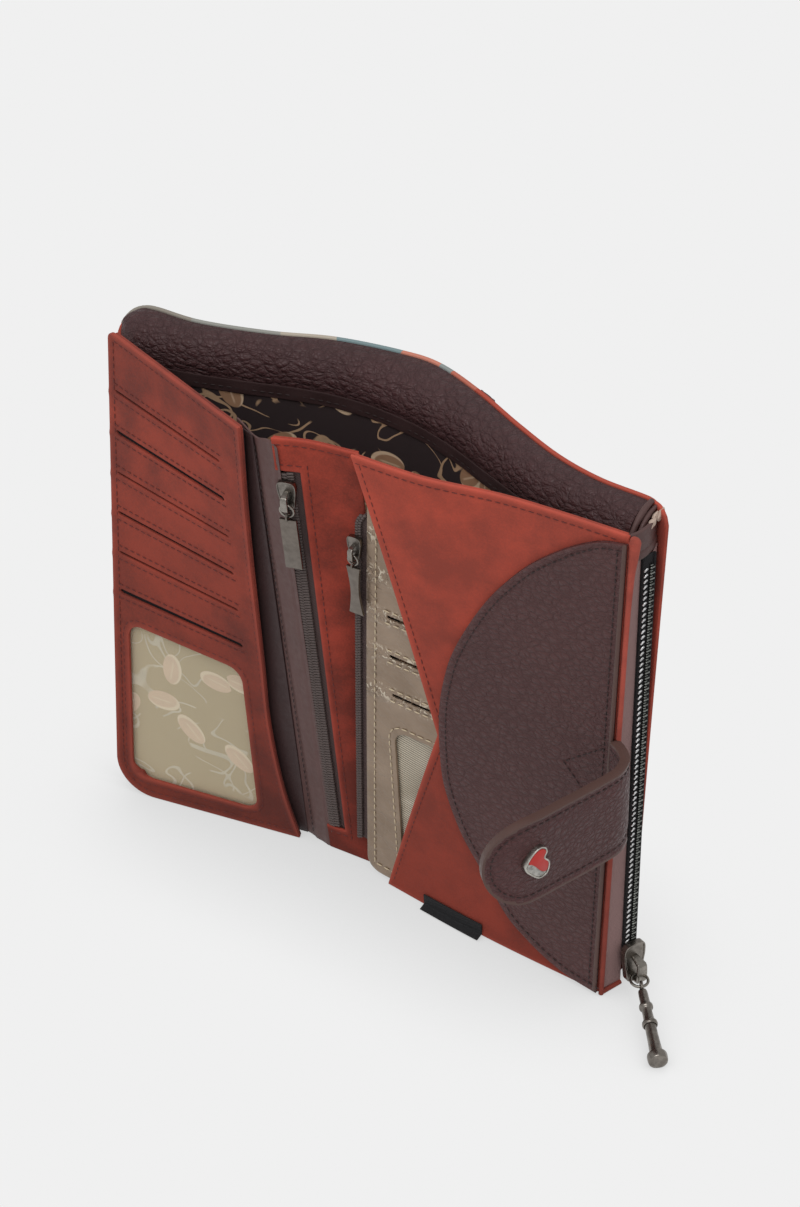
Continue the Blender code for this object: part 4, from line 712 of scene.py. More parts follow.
def walk(run, pitch):
    """Middles and directions at an even pitch along a run of flat points."""
    run = np.asarray(run, float)
    steps = np.diff(run, axis=0)
    sizes = np.linalg.norm(steps, axis=1)
    marks = np.concatenate(([0.0], np.cumsum(sizes)))
    count = max(1, round(marks[-1] / pitch))
    middles = (np.arange(count) + 0.5) * marks[-1] / count
    index = np.clip(np.searchsorted(marks, middles) - 1, 0, len(sizes) - 1)
    ways = steps[index] / sizes[index][:, None]
    return run[index] + ways * (middles - marks[index])[:, None], ways


def copies(name, model, places, finish, body, replaced=(), blend=None):
    """One mesh with a copy of a small model at each place; a place is a function that lays its points."""
    co, faces = model
    points = np.concatenate([place(co) for place in places])
    corners = [tuple(v + k * len(co) for v in face) for k in range(len(places)) for face in faces]
    mesh = bpy.data.meshes.new(name)
    mesh.from_pydata(points.tolist(), [], corners)
    piece = bpy.data.objects.new(name, mesh)
    bpy.context.scene.collection.objects.link(piece)
    soften(piece, 60)
    return set_finish(piece, finish, body, replaced, blend)


def stitch(name, wall, runs, depth, finish, body, length=2.1 * MM, pitch=2.9 * MM, width=0.42 * MM,
           height=0.36 * MM, blend=None):
    """Rows of stitches along runs of flat points on a wall."""
    places = []
    for run in runs:
        for middle, way in zip(*walk(run, pitch)):
            def laid(co, middle=middle, way=way):
                u = middle[0] + co[:, 0] * way[0] - co[:, 1] * way[1]
                z = middle[1] + co[:, 0] * way[1] + co[:, 1] * way[0]
                return wall.at(u, z, depth - co[:, 2])
            places.append(laid)
    return copies(name, stitch_model(length, width, height), places, finish, body, blend=blend)


def arc(centre, radius, start, end, count=8):
    angles = np.radians(np.linspace(start, end, count))
    return [(centre[0] + radius * math.cos(a), centre[1] + radius * math.sin(a)) for a in angles]


def ring_run(left, foot, right, top, radius):
    """A closed run round a window with rounded corners."""
    run = (arc((right - radius, top - radius), radius, 0, 90) + arc((left + radius, top - radius), radius, 90, 180)
           + arc((left + radius, foot + radius), radius, 180, 270)
           + arc((right - radius, foot + radius), radius, 270, 360))
    return run + run[:1]


def offset_run(run, distance):
    """A run moved to the left of its own direction."""
    ways = np.gradient(run, axis=0)
    ways /= np.linalg.norm(ways, axis=1)[:, None]
    return run + np.stack((-ways[:, 1], ways[:, 0]), 1) * distance


def turned_hem(name, wall, low, high, finish, body, top=HEIGHT):
    """The folded-back edge behind the top of a panel."""
    sheet(name, wall, lines(low, high, 1.5 * MM), lines(top - 5 * MM, top - 0.15 * MM, 0.6 * MM), HEM_DEPTH, 1.3 * MM,
          finish, body, rounding=0.5 * MM)


# ---------------------------------------------------------------- left half

CARD_EDGE_SHARES = (
    (1.000, 0.000), (0.943, 0.120), (0.912, 0.277), (0.923, 0.430), (0.938, 0.660), (0.961, 0.830),
    (0.983, 0.925), (1.000, 1.000))
CARD_CORNER = 15 * MM
CARD_SEAM = 2.7 * MM
CARD_WINDOW = (6.5 * MM, 8.5 * MM, 57 * MM, 76.5 * MM)
CARD_SLOT_START, CARD_SLOT_END = 3 * MM, 59 * MM
CARD_SLOT_HEIGHTS = [172.3 * MM - k * 16.7 * MM for k in range(6)]
CARD_GAPES = [gape * MM / 2 for gape in (1.1, 1.9, 0.9, 1.3, 1.0, 2.0)]
CARD_ROW_START, CARD_ROW_END, CARD_ROW_OFFSET = 2.2 * MM, 60 * MM, 2.9 * MM


def draw_in(co, start, inset=0.0):
    """Draws the free edge of a layer of the card panel in to its curve, from a line that stays."""
    width = card_wall.width
    curve = smooth_points([(up * HEIGHT, share * width) for share, up in CARD_EDGE_SHARES], 6)
    edge = np.interp(co[:, 1], curve[:, 0], curve[:, 1]) - inset
    past = co[:, 0] > start
    co[past, 0] = start + (co[past, 0] - start) * (edge[past] - start) / (width - inset - start)
    return co


def narrow_slots(co, slots):
    """Brings both ends of each slot to a point."""
    for left, foot, right, top in slots:
        for end in (left, right):
            tip = (np.abs(co[:, 0] - end) < TOUCH) & (co[:, 1] > foot - TOUCH) & (co[:, 1] < top + TOUCH)
            co[tip, 1] += ((foot + top) / 2 - co[tip, 1]) * 0.7
    return co


def card_relief(u, z):
    """The swell under each slot, where the edge of its pocket lies."""
    swells = (0.25 * MM * np.exp(-((z - height + 1.5 * MM) / (1.2 * MM)) ** 2) for height in CARD_SLOT_HEIGHTS)
    return sum(swells, 0) * (u < CARD_ROW_END)


def card_runs():
    """The card panel's outer edges, and its rows of stitches."""
    width, corner = card_wall.width, CARD_CORNER
    free, inner = ([tuple(dot) for dot in draw_in(np.array([(width - size, z) for z in np.linspace(
        HEIGHT - size, FOOT + size, 40)]), CARD_SLOT_END)] for size in (0.0, CARD_SEAM))
    edges = [[(0, HEIGHT), (width, HEIGHT)], free,
             [(0, HEIGHT), (0, corner), *arc((corner, corner), corner, 180, 270), (width, FOOT)]]
    start = (CARD_SEAM, HEIGHT - CARD_SEAM)
    rows = [[start, *inner, *arc((corner, corner), corner - CARD_SEAM, 270, 180), start]]
    rows += [[(CARD_ROW_START, z + side * CARD_ROW_OFFSET), (CARD_ROW_END, z + side * CARD_ROW_OFFSET)]
             for z in CARD_SLOT_HEIGHTS for side in (1, -1)]
    left, foot, right, top = CARD_WINDOW
    away = 2.4 * MM
    rows.append(ring_run(left - away, foot - away, right + away, top + away, 8 * MM))
    return edges, rows


def make_left_half():
    width, body = card_wall.width, "left_half"
    slots = [(CARD_SLOT_START, z - gape, CARD_SLOT_END, z + gape) for z, gape in zip(CARD_SLOT_HEIGHTS, CARD_GAPES)]
    edges, rows = card_runs()

    def shape(co):
        co = narrow_slots(round_hole(co, CARD_WINDOW, WINDOW_CORNER), slots)
        co = round_corner(round_corner(co, (0, FOOT), CARD_CORNER, 1, 1), (0, HEIGHT), 3 * MM, 1, -1)
        return draw_in(co, CARD_SLOT_END)

    marks = [z for slot in slots for z in (slot[1], slot[3])] + [CARD_WINDOW[1], CARD_WINDOW[3]]
    sheet("card_leather", card_wall,
          lines(0, width, 1.0 * MM, [CARD_SLOT_START, CARD_SLOT_END, CARD_WINDOW[0], CARD_WINDOW[2]]),
          lines(FOOT, HEIGHT, 1.0 * MM, marks), 0, PANEL, shaded_red_card, body, ["card_panel"], slots + [CARD_WINDOW], shape,
          edges=edges + [ring_run(*CARD_WINDOW, WINDOW_CORNER)], grooves=rows, hem=0.28 * MM, relief=card_relief)
    stitch("card_stitching", card_wall, rows, THREAD_DEPTH, red_thread, body)
    turned_hem("card_top_hem", card_wall, 2.5 * MM, width - 0.5 * MM, shaded_red_card, body)
    sheet("card_side_hem", card_wall, lines(width - 6 * MM, width - 0.2 * MM, 0.6 * MM),
          lines(FOOT, HEIGHT - 1 * MM, 2 * MM), HEM_DEPTH, 1.2 * MM, shaded_red_card, body,
          change=lambda co: draw_in(co, CARD_SLOT_END, 0.2 * MM), rounding=0.5 * MM)
    # Painted shade: a near-black sheet behind each slot stands for the shade inside its pocket.
    for k, z in enumerate(CARD_SLOT_HEIGHTS):
        sheet(f"card_slot_inside_{k}", card_wall, lines(1.5 * MM, 60.5 * MM, 3 * MM),
              lines(z - 2 * MM, z + 2 * MM, 1 * MM), 1.02 * MM, 0.3 * MM, shade_dark_cloth, body, rounding=0)
    sheet("card_window", card_wall, lines(4.5 * MM, CARD_SLOT_END, 2 * MM), lines(6.5 * MM, 78.5 * MM, 2 * MM),
          1.4 * MM, FILM, film, body, ["card_window_film"], rounding=0)

    layer, free = 2 * MM, 57 * MM
    sheet("card_backing", card_wall, lines(layer, width - layer, 3 * MM, [12 * MM]),
          lines(layer, HEIGHT - layer, 3 * MM, [12 * MM]), 2.1 * MM, CLOTH, taupe_print, body,
          ["card_pocket_backing"], rounding=0,
          change=lambda co: draw_in(round_corner(co, (layer, layer), 13 * MM, 1, 1), free, layer))
    # Painted shade: the lining behind the card panel is plain near-black, not printed, for the shade in the gap beside
    # the gusset.
    sheet("card_lining", card_wall, lines(1 * MM, width - layer, 3 * MM), lines(FOOT, HEIGHT - 4 * MM, 3 * MM),
          3.1 * MM, CLOTH, shade_dark_cloth, body, ["left_front_lining"], rounding=0.2 * MM,
          change=lambda co: draw_in(round_corner(co, (1 * MM, FOOT), 13 * MM, 1, 1), free, layer))
    # Painted shade: a dark brown strip behind the card panel's edge stands for the shade in the gusset's valley.
    sheet("gusset_side", card_wall, lines(width - 12 * MM, width + 1.5 * MM, 1.5 * MM),
          lines(FOOT, HEIGHT - 4 * MM, 3 * MM), 3.8 * MM, CLOTH, brown_seam, body, rounding=0.2 * MM)


def fold_x(z):
    """Where the fold line is at a height."""
    foot, top = plan(FOLD_FOOT).x, plan(FOLD_TOP).x
    return foot + (top - foot) * z / HEIGHT


def fold_blend(reach=10 * MM):
    """The two halves, and the points between which a piece bends from one to the other."""
    foot, top = plan(FOLD_FOOT), plan(FOLD_TOP, HEIGHT)
    axis = (top - foot).normalized()
    way = Vector((-1, 0, 0))
    way = (way - axis * way.dot(axis)).normalized()
    middle = (foot + top) / 2
    return ("right_half", "left_half", middle - way * reach, middle + way * reach)


def make_gusset():
    width, top = gusset_wall.width, HEIGHT - 2 * MM
    crease = width * 0.52

    def dip(co):
        """A shallow dip in the top edge, lower again past the right end."""
        share = np.clip(co[:, 1] / (20 * MM) - 8.7, 0, 1) ** 2
        co[:, 1] -= 3.4 * MM * share * np.sin(np.pi * np.clip(co[:, 0] / width, 0, 1)) ** 2
        co[:, 1] -= 0.8 * MM * share * np.clip(co[:, 0] / width - 1, 0, 1) * width / MM
        return co

    def relief(u, z):
        ridge = 0.5 * MM * np.exp(-((u - width * 0.6) / (2.2 * MM)) ** 2)
        return ridge - 0.9 * MM * np.clip((u - width) / (1.5 * MM), 0, 1)

    blend = ("right_half", "left_half", gusset_wall.at(width, 100 * MM), gusset_wall.at(0, 100 * MM))
    sheet("gusset_leather", gusset_wall, lines(0, width + 2.6 * MM, 0.8 * MM), lines(FOOT, top, 2 * MM), 0, CLOTH,
          lit_brown_fold, None, ["gusset_strip"], change=dip, blend=blend, edges=[[(0, top), (width, top)]],
          grooves=[[(crease, FOOT), (crease, HEIGHT)]], hem=0.15 * MM, relief=relief)
    stitch("gusset_stitching", gusset_wall, [[(crease, 3 * MM), (crease, HEIGHT - 8 * MM)]], -0.75 * MM, brown_thread,
           None, blend=blend)


# ---------------------------------------------------------------- right half

COIN_WINDOW_WIDTH, COIN_WINDOW_FOOT, COIN_WINDOW_TOP = 8 * MM, 12 * MM, 180.6 * MM
COIN_COIL = 3.6 * MM
CENTRE_WIDTH = 28.5 * MM
V_TIP = (28.5 * MM, 84.9 * MM)
V_FOOT = 2.4 * MM
V_SEAM = 2.8 * MM
ROUND_WIDTH, ROUND_HEIGHT, ROUND_FOOT = 66.5 * MM, 191 * MM, 1.2 * MM
ROUND_SHARES = (
    (0.000, 1.000), (0.110, 0.992), (0.223, 0.970), (0.374, 0.929), (0.507, 0.885), (0.642, 0.826),
    (0.736, 0.776), (0.820, 0.720), (0.897, 0.658), (0.943, 0.604), (0.985, 0.520), (0.993, 0.420),
    (0.969, 0.329), (0.872, 0.234), (0.740, 0.163), (0.594, 0.087), (0.459, 0.050), (0.311, 0.022),
    (0.177, 0.008), (0.000, 0.000))
ARROW = [(93.8 * MM, 108.3 * MM), (78.8 * MM, 96.2 * MM), (88.9 * MM, 84.8 * MM)]
METAL_FOOT, METAL_TOP, METAL_FAR = 1.5 * MM, 190 * MM, 84 * MM
METAL_WINDOW = (9 * MM, 8.5 * MM, 9 * MM + 50.5 * MM, 8.5 * MM + 68 * MM)
METAL_SLOTS = [(9 * MM, z * MM - 0.7 * MM, 9 * MM + 56 * MM, z * MM + 0.7 * MM) for z in (92.6, 110.2, 127.8)]
METAL_SEAM = 3.6 * MM
SECOND_ZIP_FOOT, SECOND_ZIP_TOP = 14 * MM, 171 * MM
SECOND_COIL = 3.4 * MM
SECOND_CURL = 3.2 * MM
SIDE_LEAN = 0.0183


def coil(name, wall, us, zs, width, depth, thickness, replaced, curl=0.0):
    """Two rows of nylon teeth that meet in the middle of a zip."""
    pitch = 1.25 * MM
    (low_u, high_u), (low, high) = us, zs
    bpy.ops.mesh.primitive_cylinder_add(vertices=8, radius=1, depth=1)
    tooth = bpy.context.object
    lie_down((width * 0.55, pitch * 0.44, thickness * 0.5))
    round_edges(tooth, 0.18 * MM, 1, 60)
    places = []
    for k in range(int((high - low) / pitch)):
        for side in (-1, 1):
            def laid(co, z=low + (k + 0.5 + 0.25 * side) * pitch, side=side):
                share = (z - low) / (high - low)
                u = low_u + (high_u - low_u) * share + side * width * 0.24 + co[:, 0]
                u = u + curl * max(0, 1 - (high - z) / (7 * MM)) ** 2
                return wall.at(u, z + co[:, 1] + co[:, 0] * 0.12 * side, depth - thickness / 2 - co[:, 2])
            places.append(laid)
    copies(name, as_model(tooth), places, coil_black, "right_half", [replaced])


def make_middle():
    width, body, panel_top = CENTRE_WIDTH, "right_half", HEIGHT - GAP
    right, foot, top = COIN_WINDOW_WIDTH, COIN_WINDOW_FOOT, COIN_WINDOW_TOP
    edges = [[(0, HEIGHT), (width, HEIGHT)], [(0, top), (right, top), (right, foot), (0, foot)]]
    row_start, row_right, row_foot, row_top = 0.6 * MM, 10.6 * MM, 9.4 * MM, 183.3 * MM
    rows = [[(row_start, row_top), (row_right, row_top), (row_right, row_foot), (row_start, row_foot)],
            [(row_start, HEIGHT - 3 * MM), (width, HEIGHT - 3 * MM)]]
    sheet("middle_leather", centre_wall, lines(0, width, 0.9 * MM, [right]),
          lines(FOOT, panel_top, 1.0 * MM, [foot, top]), 0, PANEL, red_middle, body, ["middle_panel"],
          [(-1 * MM, foot, right, top)], edges=edges, grooves=rows, hem=0.2 * MM)
    stitch("middle_stitching", centre_wall, rows, THREAD_DEPTH, red_thread, body)
    turned_hem("middle_top_hem", centre_wall, 0.3 * MM, width - 0.3 * MM, red_middle, body, panel_top)

    for name, low, high in (("left", 0, 3.4 * MM), ("right", 3.8 * MM, 10.5 * MM)):
        sheet("coin_tape_" + name, centre_wall, lines(low, high, 1 * MM), lines(10 * MM, 182.6 * MM, 3 * MM), 1.4 * MM,
              TAPE, dark_tape, body, ["coin_zip_tape_" + name], rounding=0.1 * MM)
    coil("coin_coil", centre_wall, (COIN_COIL, COIN_COIL), (12.4 * MM, 180.2 * MM), 4.4 * MM, 1.0 * MM, 1.4 * MM,
         "coin_zip_coil")
    for name, high, depth, replaced in (("coin_bag", HEIGHT - 13 * MM, 2.3 * MM, "coin_pocket_bag"),
                                        ("middle_lining", HEIGHT - 4 * MM, 3.3 * MM, "middle_front_lining")):
        sheet(name, centre_wall, lines(0, width - 2 * MM, 2 * MM), lines(2 * MM, high, 3 * MM), depth, CLOTH,
              black_print, body, [replaced], rounding=0.1 * MM)


def metal_left(z):
    """Where the metallic panel starts at a height."""
    return -8.4 * MM + 13.9 * MM * z / HEIGHT


def side_u(z):
    """Where the front panels end at the side."""
    return 95.0 * MM + SIDE_LEAN * z


def make_v_panel():
    right, body = right_wall.width - 0.5 * MM, "right_half"
    tip_u, tip_z = V_TIP
    share = tip_z / HEIGHT

    def stretch(co):
        """Spreads the grid, 0 to 1 across, from the V cut to the side."""
        v = co[:, 1] / HEIGHT
        start = np.where(v > share, tip_u * (1 - v) / (1 - share), V_FOOT + 26.1 * MM * v / share)
        co[:, 0] = start + (side_u(co[:, 1]) - start) * co[:, 0]
        return co

    edges = [[(0, HEIGHT), V_TIP, (V_FOOT, FOOT)], [(0, HEIGHT), (right, HEIGHT)], [(V_FOOT, FOOT), (right, FOOT)]]
    inset = V_SEAM * 1.1
    rows = [[(1 * MM, HEIGHT - V_SEAM), (right - 2 * MM, HEIGHT - V_SEAM)],
            [(inset, HEIGHT - V_SEAM), (tip_u + inset, tip_z), (V_FOOT + inset, 4 * MM)]]
    sheet("v_cut_leather", right_wall, np.linspace(0, 1, 101), lines(FOOT, HEIGHT, 1.0 * MM, [tip_z]), 0, PANEL,
          red_front, body, ["v_cut_panel"], change=stretch, edges=edges, grooves=rows, hem=0.22 * MM)
    stitch("v_cut_stitching", right_wall, rows, THREAD_DEPTH, red_thread, body)
    turned_hem("v_cut_top_hem", right_wall, 0.8 * MM, side_u(HEIGHT) - 1 * MM, red_front, body)


def make_round_panel():
    right, body = right_wall.width - 0.5 * MM, "right_half"
    curve = smooth_points([(right - a * ROUND_WIDTH, ROUND_FOOT + b * ROUND_HEIGHT) for a, b in ROUND_SHARES], 12)
    marks = np.concatenate(([0.0], np.cumsum(np.linalg.norm(np.diff(curve, axis=0), axis=1))))

    def stretch(co):
        """Spreads the grid, 0 to 1 both ways, from the round edge to the straight one."""
        u, v = co[:, 0].copy(), co[:, 1].copy()
        left = np.stack([np.interp(marks[-1] * (1 - v), marks, curve[:, k]) for k in (0, 1)], 1)
        rise = side_u(0) - right + SIDE_LEAN * left[:, 1]
        left[:, 0] += rise * (1 - np.clip((right - left[:, 0]) / (20 * MM), 0, 1))
        spread = 1 - (1 - u) ** 1.15
        side_z = ROUND_FOOT + ROUND_HEIGHT * (v * 0.8 + 0.2 * (3 * v ** 2 - 2 * v ** 3))
        co[:, 1] = left[:, 1] + (side_z - left[:, 1]) * spread
        co[:, 0] = left[:, 0] + (side_u(side_z) - 0.3 * MM - left[:, 0]) * spread
        return co

    def to_side(co):
        co[:, 0] += side_u(co[:, 1])
        return co

    hinge = [(side_u(z) - 3.1 * MM, z) for z in (189 * MM, 3 * MM)]
    rows = [offset_run(curve, 2.6 * MM), hinge, ARROW]
    sheet("round_leather", right_wall, np.linspace(0, 1, 61), np.linspace(0, 1, 191), -1.8 * MM, 1.4 * MM,
          brown_round, body, ["round_panel"], change=stretch, edges=[curve], grooves=rows, rounding=0.5 * MM)
    sheet("round_binding", right_wall, lines(-1.5 * MM, 0, 0.5 * MM), lines(1.6 * MM, 192.4 * MM, 3 * MM), -2.2 * MM,
          1.2 * MM, edge_paint, body, change=to_side, rounding=0.5 * MM)
    stitch("round_stitching", right_wall, rows, -1.85 * MM, brown_thread, body, 2.0 * MM, 2.6 * MM)


def make_metallic():
    body, (left, foot, right, top) = "right_half", METAL_WINDOW

    def slant(co):
        co = round_hole(co, METAL_WINDOW, WINDOW_CORNER)
        co[:, 0] += np.clip(1 - co[:, 0] / left, 0, 1) * metal_left(co[:, 1])
        return round_corner(co, (metal_left(METAL_FOOT), METAL_FOOT), 6 * MM, 1, 1)

    us = np.concatenate((np.linspace(0, 1, 10)[:-1] * left, lines(left, 40 * MM, 1.0 * MM)[:-1],
                         lines(40 * MM, METAL_FAR, 4 * MM, [59.5 * MM, 65 * MM])))
    zs = lines(METAL_FOOT, METAL_TOP, 1.0 * MM, [z for slot in METAL_SLOTS for z in (slot[1], slot[3])] + [foot, top])
    side = [(metal_left(METAL_TOP), METAL_TOP), (metal_left(8 * MM), 8 * MM)]
    rows = [[(metal_left(METAL_TOP) + METAL_SEAM, METAL_TOP - 2 * MM), (metal_left(6 * MM) + METAL_SEAM, 6 * MM),
             (METAL_FAR, 4.5 * MM)],
            ring_run(left - 2.4 * MM, foot - 2 * MM, right + 2.4 * MM, top + 2.4 * MM, 7 * MM)]
    for start, low, _, high in METAL_SLOTS:
        rows += [[(start - 1.5 * MM, z), (45 * MM, z)] for z in (low - 2 * MM, high + 2 * MM)]
    sheet("bronze_panel", right_wall, us, zs, 1.5 * MM, PANEL, bronze, body, ["metallic_panel"],
          METAL_SLOTS + [METAL_WINDOW], slant, edges=[side, ring_run(*METAL_WINDOW, WINDOW_CORNER)], grooves=rows,
          hem=0.15 * MM)
    stitch("bronze_stitching", right_wall, rows, 1.32 * MM, cream_thread, body, 2.6 * MM, 3.4 * MM, 0.62 * MM,
           0.5 * MM)

    sheet("mesh_screen", right_wall, lines(left - 2 * MM, right + 2 * MM, 2 * MM),
          lines(foot - 2 * MM, top + 2 * MM, 2 * MM), 2.9 * MM, FILM, mesh_cloth, body, ["mesh_window"], rounding=0)
    for name, low, high, near_u, far_u, depth, replaced in (
            ("pocket_backing", METAL_FOOT, METAL_TOP, 7.7 * MM, METAL_FAR, 3.6 * MM, "right_pocket_backing"),
            ("front_lining", FOOT, HEIGHT - 4 * MM, 8.5 * MM, right_wall.width - 2.5 * MM, 4.6 * MM,
             "right_front_lining")):
        sheet(name, right_wall, lines(near_u, far_u, 3 * MM), lines(low, high, 3 * MM), depth, CLOTH, black_print,
              body, [replaced], rounding=0.1 * MM)


def make_second_zip():
    low, high = SECOND_ZIP_FOOT, SECOND_ZIP_TOP

    def lean(co):
        """Follows the metallic panel's edge, and curls away at the top."""
        co[:, 0] += SECOND_CURL * np.clip(1 - (high - co[:, 1]) / (7 * MM), 0, 1) ** 2
        co[:, 0] += metal_left(co[:, 1])
        return co

    sheet("second_tape", right_wall, lines(-3.2 * MM, 3 * MM, 1 * MM), lines(low, high, 2 * MM), 2.9 * MM, TAPE,
          dark_tape, "right_half", ["second_zip_tape"], change=lean, rounding=0.1 * MM)
    coil("second_coil", right_wall, (metal_left(low) - SECOND_COIL, metal_left(high) - SECOND_COIL),
         (low + GAP, high - GAP), 2.2 * MM, 2.5 * MM, 1.4 * MM, "second_zip_coil", SECOND_CURL)


def make_label():
    """The cloth label, whose lower end turns under the panel's foot."""
    turn = 1.6 * MM
    piece = sheet("black_label", right_wall, lines(20 * MM, 46 * MM, 1.5 * MM), lines(-turn, 6 * MM, 0.5 * MM),
                  -1.0 * MM, CLOTH, label_satin, "right_half", ["woven_label"], rounding=0.2 * MM)
    co = coordinates(piece)
    below = np.clip(turn - co[:, 2], 0, None)
    co[:, 1] -= below * 0.9
    co[:, 2] = np.maximum(co[:, 2] + below * 0.75, GAP + 0.2 * co[:, 2])
    place_vertices(piece, co)


# ---------------------------------------------------------------- back wall, facing, base

BAND_LEFT, BAND_RIGHT_INSET = 7 * MM, 5 * MM
FACING_CAP = 7.6 * MM
FACING_CREASE = 0.16 * MM
SKIRT = 4.6 * MM


def turned_drop(co):
    """How far the cover's top edge comes down towards its turned left end."""
    drop = 7 * MM * np.clip(1.15 - co[:, 0] / (17 * MM), 0, 1) ** 1.5
    return drop * np.clip(co[:, 1] / HEIGHT * 4 - 3, 0, 1)


def make_back():
    blend = fold_blend()
    sheet("mouth_lining", lining_wall, lines(0, lining_wall.width, 1.6 * MM), lines(FOOT, lining_wall.rise, 3 * MM),
          0, CLOTH, black_print, None, ["left_back_lining", "right_back_lining"], blend=blend, rounding=0.1 * MM)
    width = cover_wall.width

    def shape_cover(co):
        """Drops the left end, rounds the top right corner and draws the right end out."""
        co[:, 1] -= turned_drop(co)
        reach, corner = (np.clip(1 - (width - co[:, 0]) / size, 0, 1) for size in (20 * MM, 5 * MM))
        co[:, 1] -= 5 * MM * (1 - np.sqrt(1 - corner ** 2)) * np.clip(co[:, 1] / HEIGHT * 6 - 5, 0, 1)
        co[:, 0] += 1.6 * MM * reach * (co[:, 1] / HEIGHT) ** 2
        return co

    def shape_band(co):
        co[:, 1] -= turned_drop(co)
        co[:, 1] -= 1.2 * MM * np.clip(1 - (width - BAND_RIGHT_INSET - co[:, 0]) / (5 * MM), 0, 1) ** 2
        return co

    sheet("outer_cover", cover_wall, lines(0, width, 1.5 * MM), lines(0, HEIGHT, 2.5 * MM), -COVER, COVER, red_front,
          None, ["left_cover", "right_cover"], change=shape_cover, blend=blend, edges=[[(0, HEIGHT), (width, HEIGHT)]],
          rounding=0.5 * MM)
    sheet("cover_top_band", cover_wall, lines(BAND_LEFT, width - BAND_RIGHT_INSET, 1.5 * MM),
          lines(HEIGHT - 9 * MM, HEIGHT + 0.35 * MM, 0.7 * MM), -1.5 * MM, 1.7 * MM, cover_blocks, None,
          change=shape_band, blend=blend, rounding=0.6 * MM)


def cover_y(x, z, layer, w):
    """The y of a depth of the cover, where a layer of it is at x past its turned left end."""
    u = cover_wall.across(x, z, layer, cover_wall.width * 0.08)
    return cover_wall.at(u, z, w)[1]


def make_facing():
    """The padded leather roll between the lining's seam and the cover's top edge."""
    start = lining_wall.at(0, FACING_BOTTOM)[0] + 3 * MM
    end = lining_wall.at(lining_wall.width, FACING_BOTTOM)[0]
    rounds = np.linspace(0, 1, 15)[:-1]
    xs = np.concatenate((start - FACING_CAP * np.sqrt(1 - rounds ** 2), np.linspace(start, end, 181)))
    inside = np.clip(xs, start, end)
    nears = np.array([lining_wall.at(lining_wall.across(x, FACING_BOTTOM), FACING_BOTTOM)[1] for x in inside])
    fars = np.array([cover_y(x, HEIGHT, -COVER, -2.0 * MM) for x in inside])
    past = np.clip((start - xs) / FACING_CAP, 0, 1)
    middle, shrink = (nears + fars) / 2, np.sqrt(1 - past ** 2)
    nears, fars = middle + (nears - middle) * shrink, middle + (fars + 1.2 * MM * past - middle) * shrink

    piece = cut_sheet("facing_roll", np.arange(len(xs)), np.linspace(0, 1, 23))
    apply(piece, "SOLIDIFY", thickness=0.05, offset=-1)
    co = coordinates(piece)
    x, share, inner = np.interp(co[:, 0], np.arange(len(xs)), xs), co[:, 1], -co[:, 2] / 0.05
    near_y, far_y = np.interp(x, xs, nears), np.interp(x, xs, fars)
    depth, angle = far_y - near_y, share * np.pi / 2
    belly = 1 - inner * np.minimum(FACING / np.maximum(depth, 1e-5), 0.5)
    crease = (np.sin(x / (3.9 * MM) + 2.4 * share) + 0.7 * np.sin(x / (2.3 * MM) - 3 * share)
              + 0.5 * np.sin(x / (9 * MM))) * np.sin(angle * 2)
    puff = 1 + 0.10 * np.sin(angle * 2)
    y = far_y - depth * belly * np.cos(angle) * puff - FACING_CREASE * crease
    z = FACING_BOTTOM + (FACING_RISE - inner * FACING) * np.sin(angle) * puff + FACING_CREASE * crease
    z = np.minimum(z, HEIGHT + 0.9 * MM) - 4.6 * MM * (1 - np.interp(x, xs, shrink)) * share
    set_flat(piece, np.stack((x, share * 25 * MM), 1))
    place_vertices(piece, np.stack((x, y, z), 1))
    soften(piece, 60)
    set_finish(piece, shaded_brown_roll, None, ["left_facing", "right_facing"], fold_blend())


def make_skirt():
    """The thin strip of leather under the roll, with its seam."""
    low, width = FACING_BOTTOM - SKIRT, lining_wall.width
    seam_z = FACING_BOTTOM - 2.6 * MM

    def ripple(u, z):
        return 0.2 * MM * np.sin(u / (3.1 * MM)) * np.exp(-((z - low - 1.5 * MM) / (2 * MM)) ** 2)

    sheet("facing_skirt", lining_wall, lines(1.5 * MM, width - 1.5 * MM, 1.2 * MM),
          lines(low, FACING_BOTTOM + 0.5 * MM, 0.5 * MM), -0.6 * MM, 0.55 * MM, brown_seam, None, blend=fold_blend(),
          edges=[[(0, low), (width, low)]], rounding=0.25 * MM, relief=ripple)
    stitch("facing_stitching", lining_wall, [[(3 * MM, seam_z), (width - 3 * MM, seam_z)]], -0.66 * MM, brown_thread,
           None, blend=fold_blend())


def make_base():
    ends = (lining_wall.at(2 * MM, 0)[0] + 2 * MM, cover_wall.at(cover_wall.width, 0)[0] - 2 * MM)
    xs = np.linspace(ends[0], ends[1], 101)
    nears = np.array([lining_wall.at(lining_wall.across(x, 0), 0, 1.0 * MM)[1] for x in xs])
    fars = np.array([cover_y(x, 0, -1.8 * MM, -1.8 * MM) for x in xs])
    piece = cut_sheet("cover_base", xs, np.linspace(0, 1, 9))
    apply(piece, "SOLIDIFY", thickness=COVER, offset=-1)
    round_edges(piece, 0.3 * MM, angle=60)
    co = coordinates(piece)
    low, high = np.interp(co[:, 0], xs, nears), np.interp(co[:, 0], xs, fars)
    place_vertices(piece, np.stack((co[:, 0], low + (high - low) * co[:, 1], co[:, 2] + COVER), 1))
    soften(piece)
    set_finish(piece, red_front, None, ["left_base", "right_base"], fold_blend())


# ---------------------------------------------------------------- small solids

